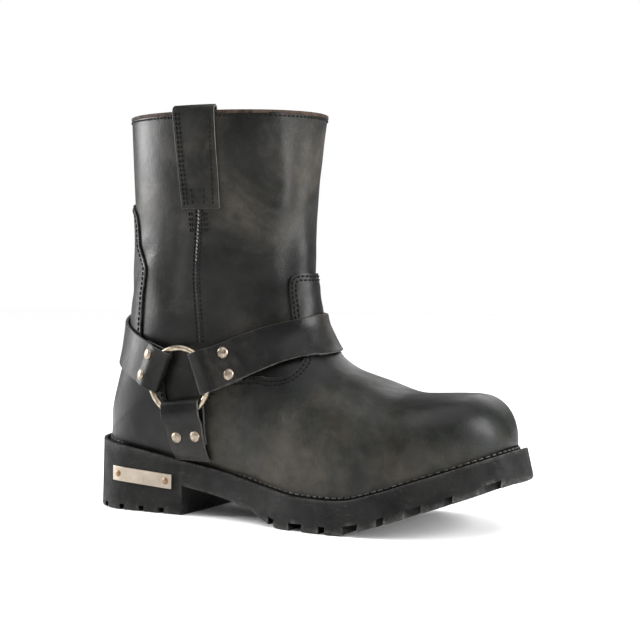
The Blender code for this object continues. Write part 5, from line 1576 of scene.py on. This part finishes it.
def vampLine(offset):
    line = [p for p in sideLine(vampEdge, 4) if p[0] > footX(edgeSeam["vampFrom"])]
    lateral = seatLine(topForm, line, -1)
    top = tabTop(topForm)
    medial = seatLine(topForm, [p for p in line if p[0] > footX(vampNotch["front"]) + offset], 1)
    points, facings = [lateral[k] + top[k][1:-1] + medial[k][::-1] for k in (0, 1)]
    return shifted(topForm, points, facings, -offset)


def counterLines(offset):
    lines = []
    for side in (-1, 1):
        line = [p for p in sideLine(counterEdge, 4) if p[0] < footX(edgeSeam["counterTo"])]
        lines.append(shifted(topForm, *seatLine(topForm, line, side), -side * offset))
    return lines


def backLine(offset):  # joins the two side rows across the back
    ends = [lines[0][-1] for lines in counterLines(offset)]
    turns = [math.degrees(math.atan2(p.y, p.x - creaseAxis)) % 360 for p in ends]
    return asLine([seatRound(topForm, creaseAxis, turns[0] + (turns[1] - turns[0]) * share,
                             ends[0].z + (ends[1].z - ends[0].z) * share)
                   for share in np.linspace(0, 1, 20)])


def collarLine(drop):
    z = last["collarHeight"] - drop
    room = zipSize["slot"] / 2 + edgeSeam["collarFromZip"]
    spots = [seatRound(baseForm, creaseAxis, degrees, z) for degrees in np.linspace(100, 418, 150)]
    return asLine([(p, n) for p, n in spots if not (p.y > 0 and abs(p.x - zipX(z)) < room)])


sew("vampStitches", [vampLine(offset) for offset in edgeSeam["vampRows"]])
sew("counterStitches", counterLines(edgeSeam["counterRow"]) + [backLine(edgeSeam["counterRow"])])
sew("collarStitches", [collarLine(edgeSeam["collarDrop"])])

sideSeam = {"top": 207.5 * mm, "low": 118 * mm, "paintedHighlightLow": 172 * mm, "rowGap": 2.2 * mm,
            "heights": (118 * mm, 155 * mm, 205 * mm), "places": (61 * mm, 61.5 * mm, 66.5 * mm),
            "cordWidth": 0.9 * mm, "cordHeight": 0.45 * mm, "threadShift": 0.01 * mm}


def sideSeamX(z):
    return smoothAt(sideSeam["heights"], sideSeam["places"], z)


def sideSeamLine(shift=0.0):
    line = [(sideSeamX(z), z) for z in np.linspace(sideSeam["top"], sideSeam["low"], 60)]
    spots = seatLine(baseForm, line, -1)
    return shifted(baseForm, *spots, shift) if shift else spots


def seamCord():  # the low ridge under the side seam's thread
    points, facings = sideSeamLine()
    rows = []
    for k, (p, n) in enumerate(zip(points, facings)):
        t = (points[min(k + 1, len(points) - 1)] - points[max(k - 1, 0)]).normalized()
        side = n.cross(t).normalized()
        rows.append([p + side * (sideSeam["cordWidth"] * math.cos(turn))
                     + n * (sideSeam["cordHeight"] * math.sin(turn))
                     for turn in np.linspace(0, 2 * math.pi, 11)])
    rows = [[sum(rows[0], Vector()) / 11] * 11] + rows + [[sum(rows[-1], Vector()) / 11] * 11]
    return fromGrids("seamRidge", [(rows, 0)], [shaftLeather], 80)


keep(seamCord(), "boot")
# the cord's thread is pale on its upper part and dull below it; the pale upper part is the same thread with a
# painted highlight
seamPoints, seamNormals = sideSeamLine(sideSeam["threadShift"])
paintedHighlightEnd = sum(1 for p in seamPoints if p[2] > sideSeam["paintedHighlightLow"])
sew("seamThreadPaintedHighlight", [(seamPoints[:paintedHighlightEnd], seamNormals[:paintedHighlightEnd])])
sew("seamDarkThread", [(seamPoints[paintedHighlightEnd:], seamNormals[paintedHighlightEnd:])])
sew("seamStitches", [sideSeamLine(sideSeam["rowGap"]), sideSeamLine(-sideSeam["rowGap"])])

loopForm = pieceTree(pullLoop)
loopSeam = {"start": 2 * mm, "short": 12 * mm, "longRows": (2.4 * mm, 5.0 * mm, -2.8 * mm),
            "shortRows": (9 * mm, -9 * mm), "tackRows": (-6.5 * mm, -4.5 * mm, 4.5 * mm, 6.5 * mm),
            "tackLow": 192 * mm, "tackHigh": 206 * mm}


def loopLine(inset, high):  # inset from the back edge, or from the front one below 0
    edge = 0 if inset > 0 else 1
    heights = np.linspace(loop["low"] + loopSeam["start"], high, 12)
    return seatLine(loopForm, [(loopX(edge, z) + inset, z) for z in heights], -1)


shortTop = loop["low"] + loopSeam["start"] + loopSeam["short"]
sew("loopStitches", [loopLine(inset, last["collarHeight"]) for inset in loopSeam["longRows"]]
    + [loopLine(inset, shortTop) for inset in loopSeam["shortRows"]])
tackHeights = np.linspace(loopSeam["tackLow"], loopSeam["tackHigh"], 6)
sew("loopTackStitches", [seatLine(baseForm, [(loop["x"] + dx, z) for z in tackHeights], -1)
                         for dx in loopSeam["tackRows"]])
zipHeights = np.linspace(zipSize["low"] + edgeSeam["zipUp"], last["collarHeight"] - edgeSeam["zipShort"], 50)
sew("zipStitches", [seatLine(baseForm, [(zipX(z) + shift, z) for z in zipHeights], 1)
                    for shift in edgeSeam["zipRows"]])


def weltLine():
    # Along the leaning welt, from its outer edge a share of the way to the upper
    outside = -sole["rimWidth"] - last["gap"]
    edge = soleLevel(lambda x: outside - welt["softEdge"], weltTop)
    top = outline(overlayFace, overlayFace, overlayFace, weltLean, soleMiddle)
    points, facings = [], []
    for side in (0, 1):
        count = len(edge[side])
        upper = np.array([[np.interp(k / (count - 1), np.linspace(0, 1, len(top[side])), top[side][:, c])
                           for c in range(3)] for k in range(count)])
        middle = edge[side] * (1 - welt["seamAt"]) + upper * welt["seamAt"]
        facing = np.cross(np.gradient(middle, axis=0), upper - edge[side])
        facing /= np.maximum(np.linalg.norm(facing, axis=1, keepdims=True), 1e-12)
        facing *= np.sign(facing[:, 2:3])
        points.append(middle)
        facings.append(facing)
    return [np.concatenate([sides[0], sides[1][::-1][1:]]).tolist() for sides in (points, facings)]


sew("weltStitches", [weltLine()])
print("stitches sewn")


studio = {"floorSize": 8, "floorDark": (0.965, 0.965, 0.965), "floorPale": (0.975, 0.975, 0.975),
          "middle": (0.1, 0, 0.12), "sun": 2.9, "sunSpread": 70, "sunTurn": (8, 6, 0), "world": 0.22}
lights = [
    {"name": "heelSideBox", "at": (-1.25, -0.30, 0.55), "size": 0.80, "power": 34},
    {"name": "toeSideBox", "at": (1.55, 0.10, 0.60), "size": 0.90, "power": 44},
    {"name": "cameraFill", "at": (0.10, -1.60, 1.10), "size": 1.0, "power": 5},
    {"name": "backBox", "at": (0.1, 1.4, 0.9), "size": 1.0, "power": 7},
]


def makeFloor():
    bpy.ops.object.select_all(action="DESELECT")
    bpy.ops.mesh.primitive_plane_add(size=studio["floorSize"], location=(studio["middle"][0], 0, 0))
    floor = bpy.context.object
    floor.name = "paleFloor"
    f = Finish("paleFloor", Roughness=0.6)
    f.colour(f.ramp(f.noise(3, 2, 0.5), [(0.3, studio["floorDark"]), (0.7, studio["floorPale"])]))
    floor.data.materials.append(f.material)


def makeLights():
    aim = Vector(studio["middle"])
    for light in lights:
        data = bpy.data.lights.new(light["name"], "AREA")
        data.shape = "SQUARE"
        data.size = light["size"]
        data.energy = light["power"]
        item = bpy.data.objects.new(light["name"], data)
        bpy.context.scene.collection.objects.link(item)
        item.location = light["at"]
        item.rotation_euler = (aim - Vector(light["at"])).to_track_quat("-Z", "Y").to_euler()
    data = bpy.data.lights.new("softDaylight", "SUN")
    data.energy = studio["sun"]
    data.angle = math.radians(studio["sunSpread"])
    item = bpy.data.objects.new("softDaylight", data)
    bpy.context.scene.collection.objects.link(item)
    item.rotation_euler = [math.radians(turn) for turn in studio["sunTurn"]]
    world = bpy.data.worlds.new("studio")
    bpy.context.scene.world = world
    world.use_nodes = True
    nodes, links = world.node_tree.nodes, world.node_tree.links
    nodes["Background"].inputs["Color"].default_value = (1, 1, 1, 1)
    rays = nodes.new("ShaderNodeLightPath")  # a white backdrop that lights the boot softly
    strength = nodes.new("ShaderNodeMapRange")
    strength.inputs["To Min"].default_value = studio["world"]
    strength.inputs["To Max"].default_value = 1.0
    links.new(rays.outputs["Is Camera Ray"], strength.inputs["Value"])
    links.new(strength.outputs["Result"], nodes["Background"].inputs["Strength"])
    bpy.context.scene.view_settings.view_transform = "Standard"


camera = {"at": (0.61106, -0.853434, 0.1685586), "yaw": 0.481178993, "pitch": 0.0271872705,
          "lens": 81.5625, "sensor": 36, "shift": (-0.07, -0.02)}


def makeCamera():
    data = bpy.data.cameras.new("camera")
    data.lens = camera["lens"]
    data.sensor_width = camera["sensor"]
    data.shift_x, data.shift_y = camera["shift"]
    item = bpy.data.objects.new("camera", data)
    bpy.context.scene.collection.objects.link(item)
    yaw, pitch = camera["yaw"], camera["pitch"]
    right = Vector((math.cos(yaw), math.sin(yaw), 0))
    near = Vector((math.sin(yaw), -math.cos(yaw), 0))
    forward = -near * math.cos(pitch) - Vector((0, 0, math.sin(pitch)))
    up = right.cross(forward)
    turn = Matrix((right, up, -forward)).transposed().to_4x4()
    item.matrix_world = Matrix.Translation(camera["at"]) @ turn
    bpy.context.scene.camera = item


makeFloor()
makeLights()
makeCamera()
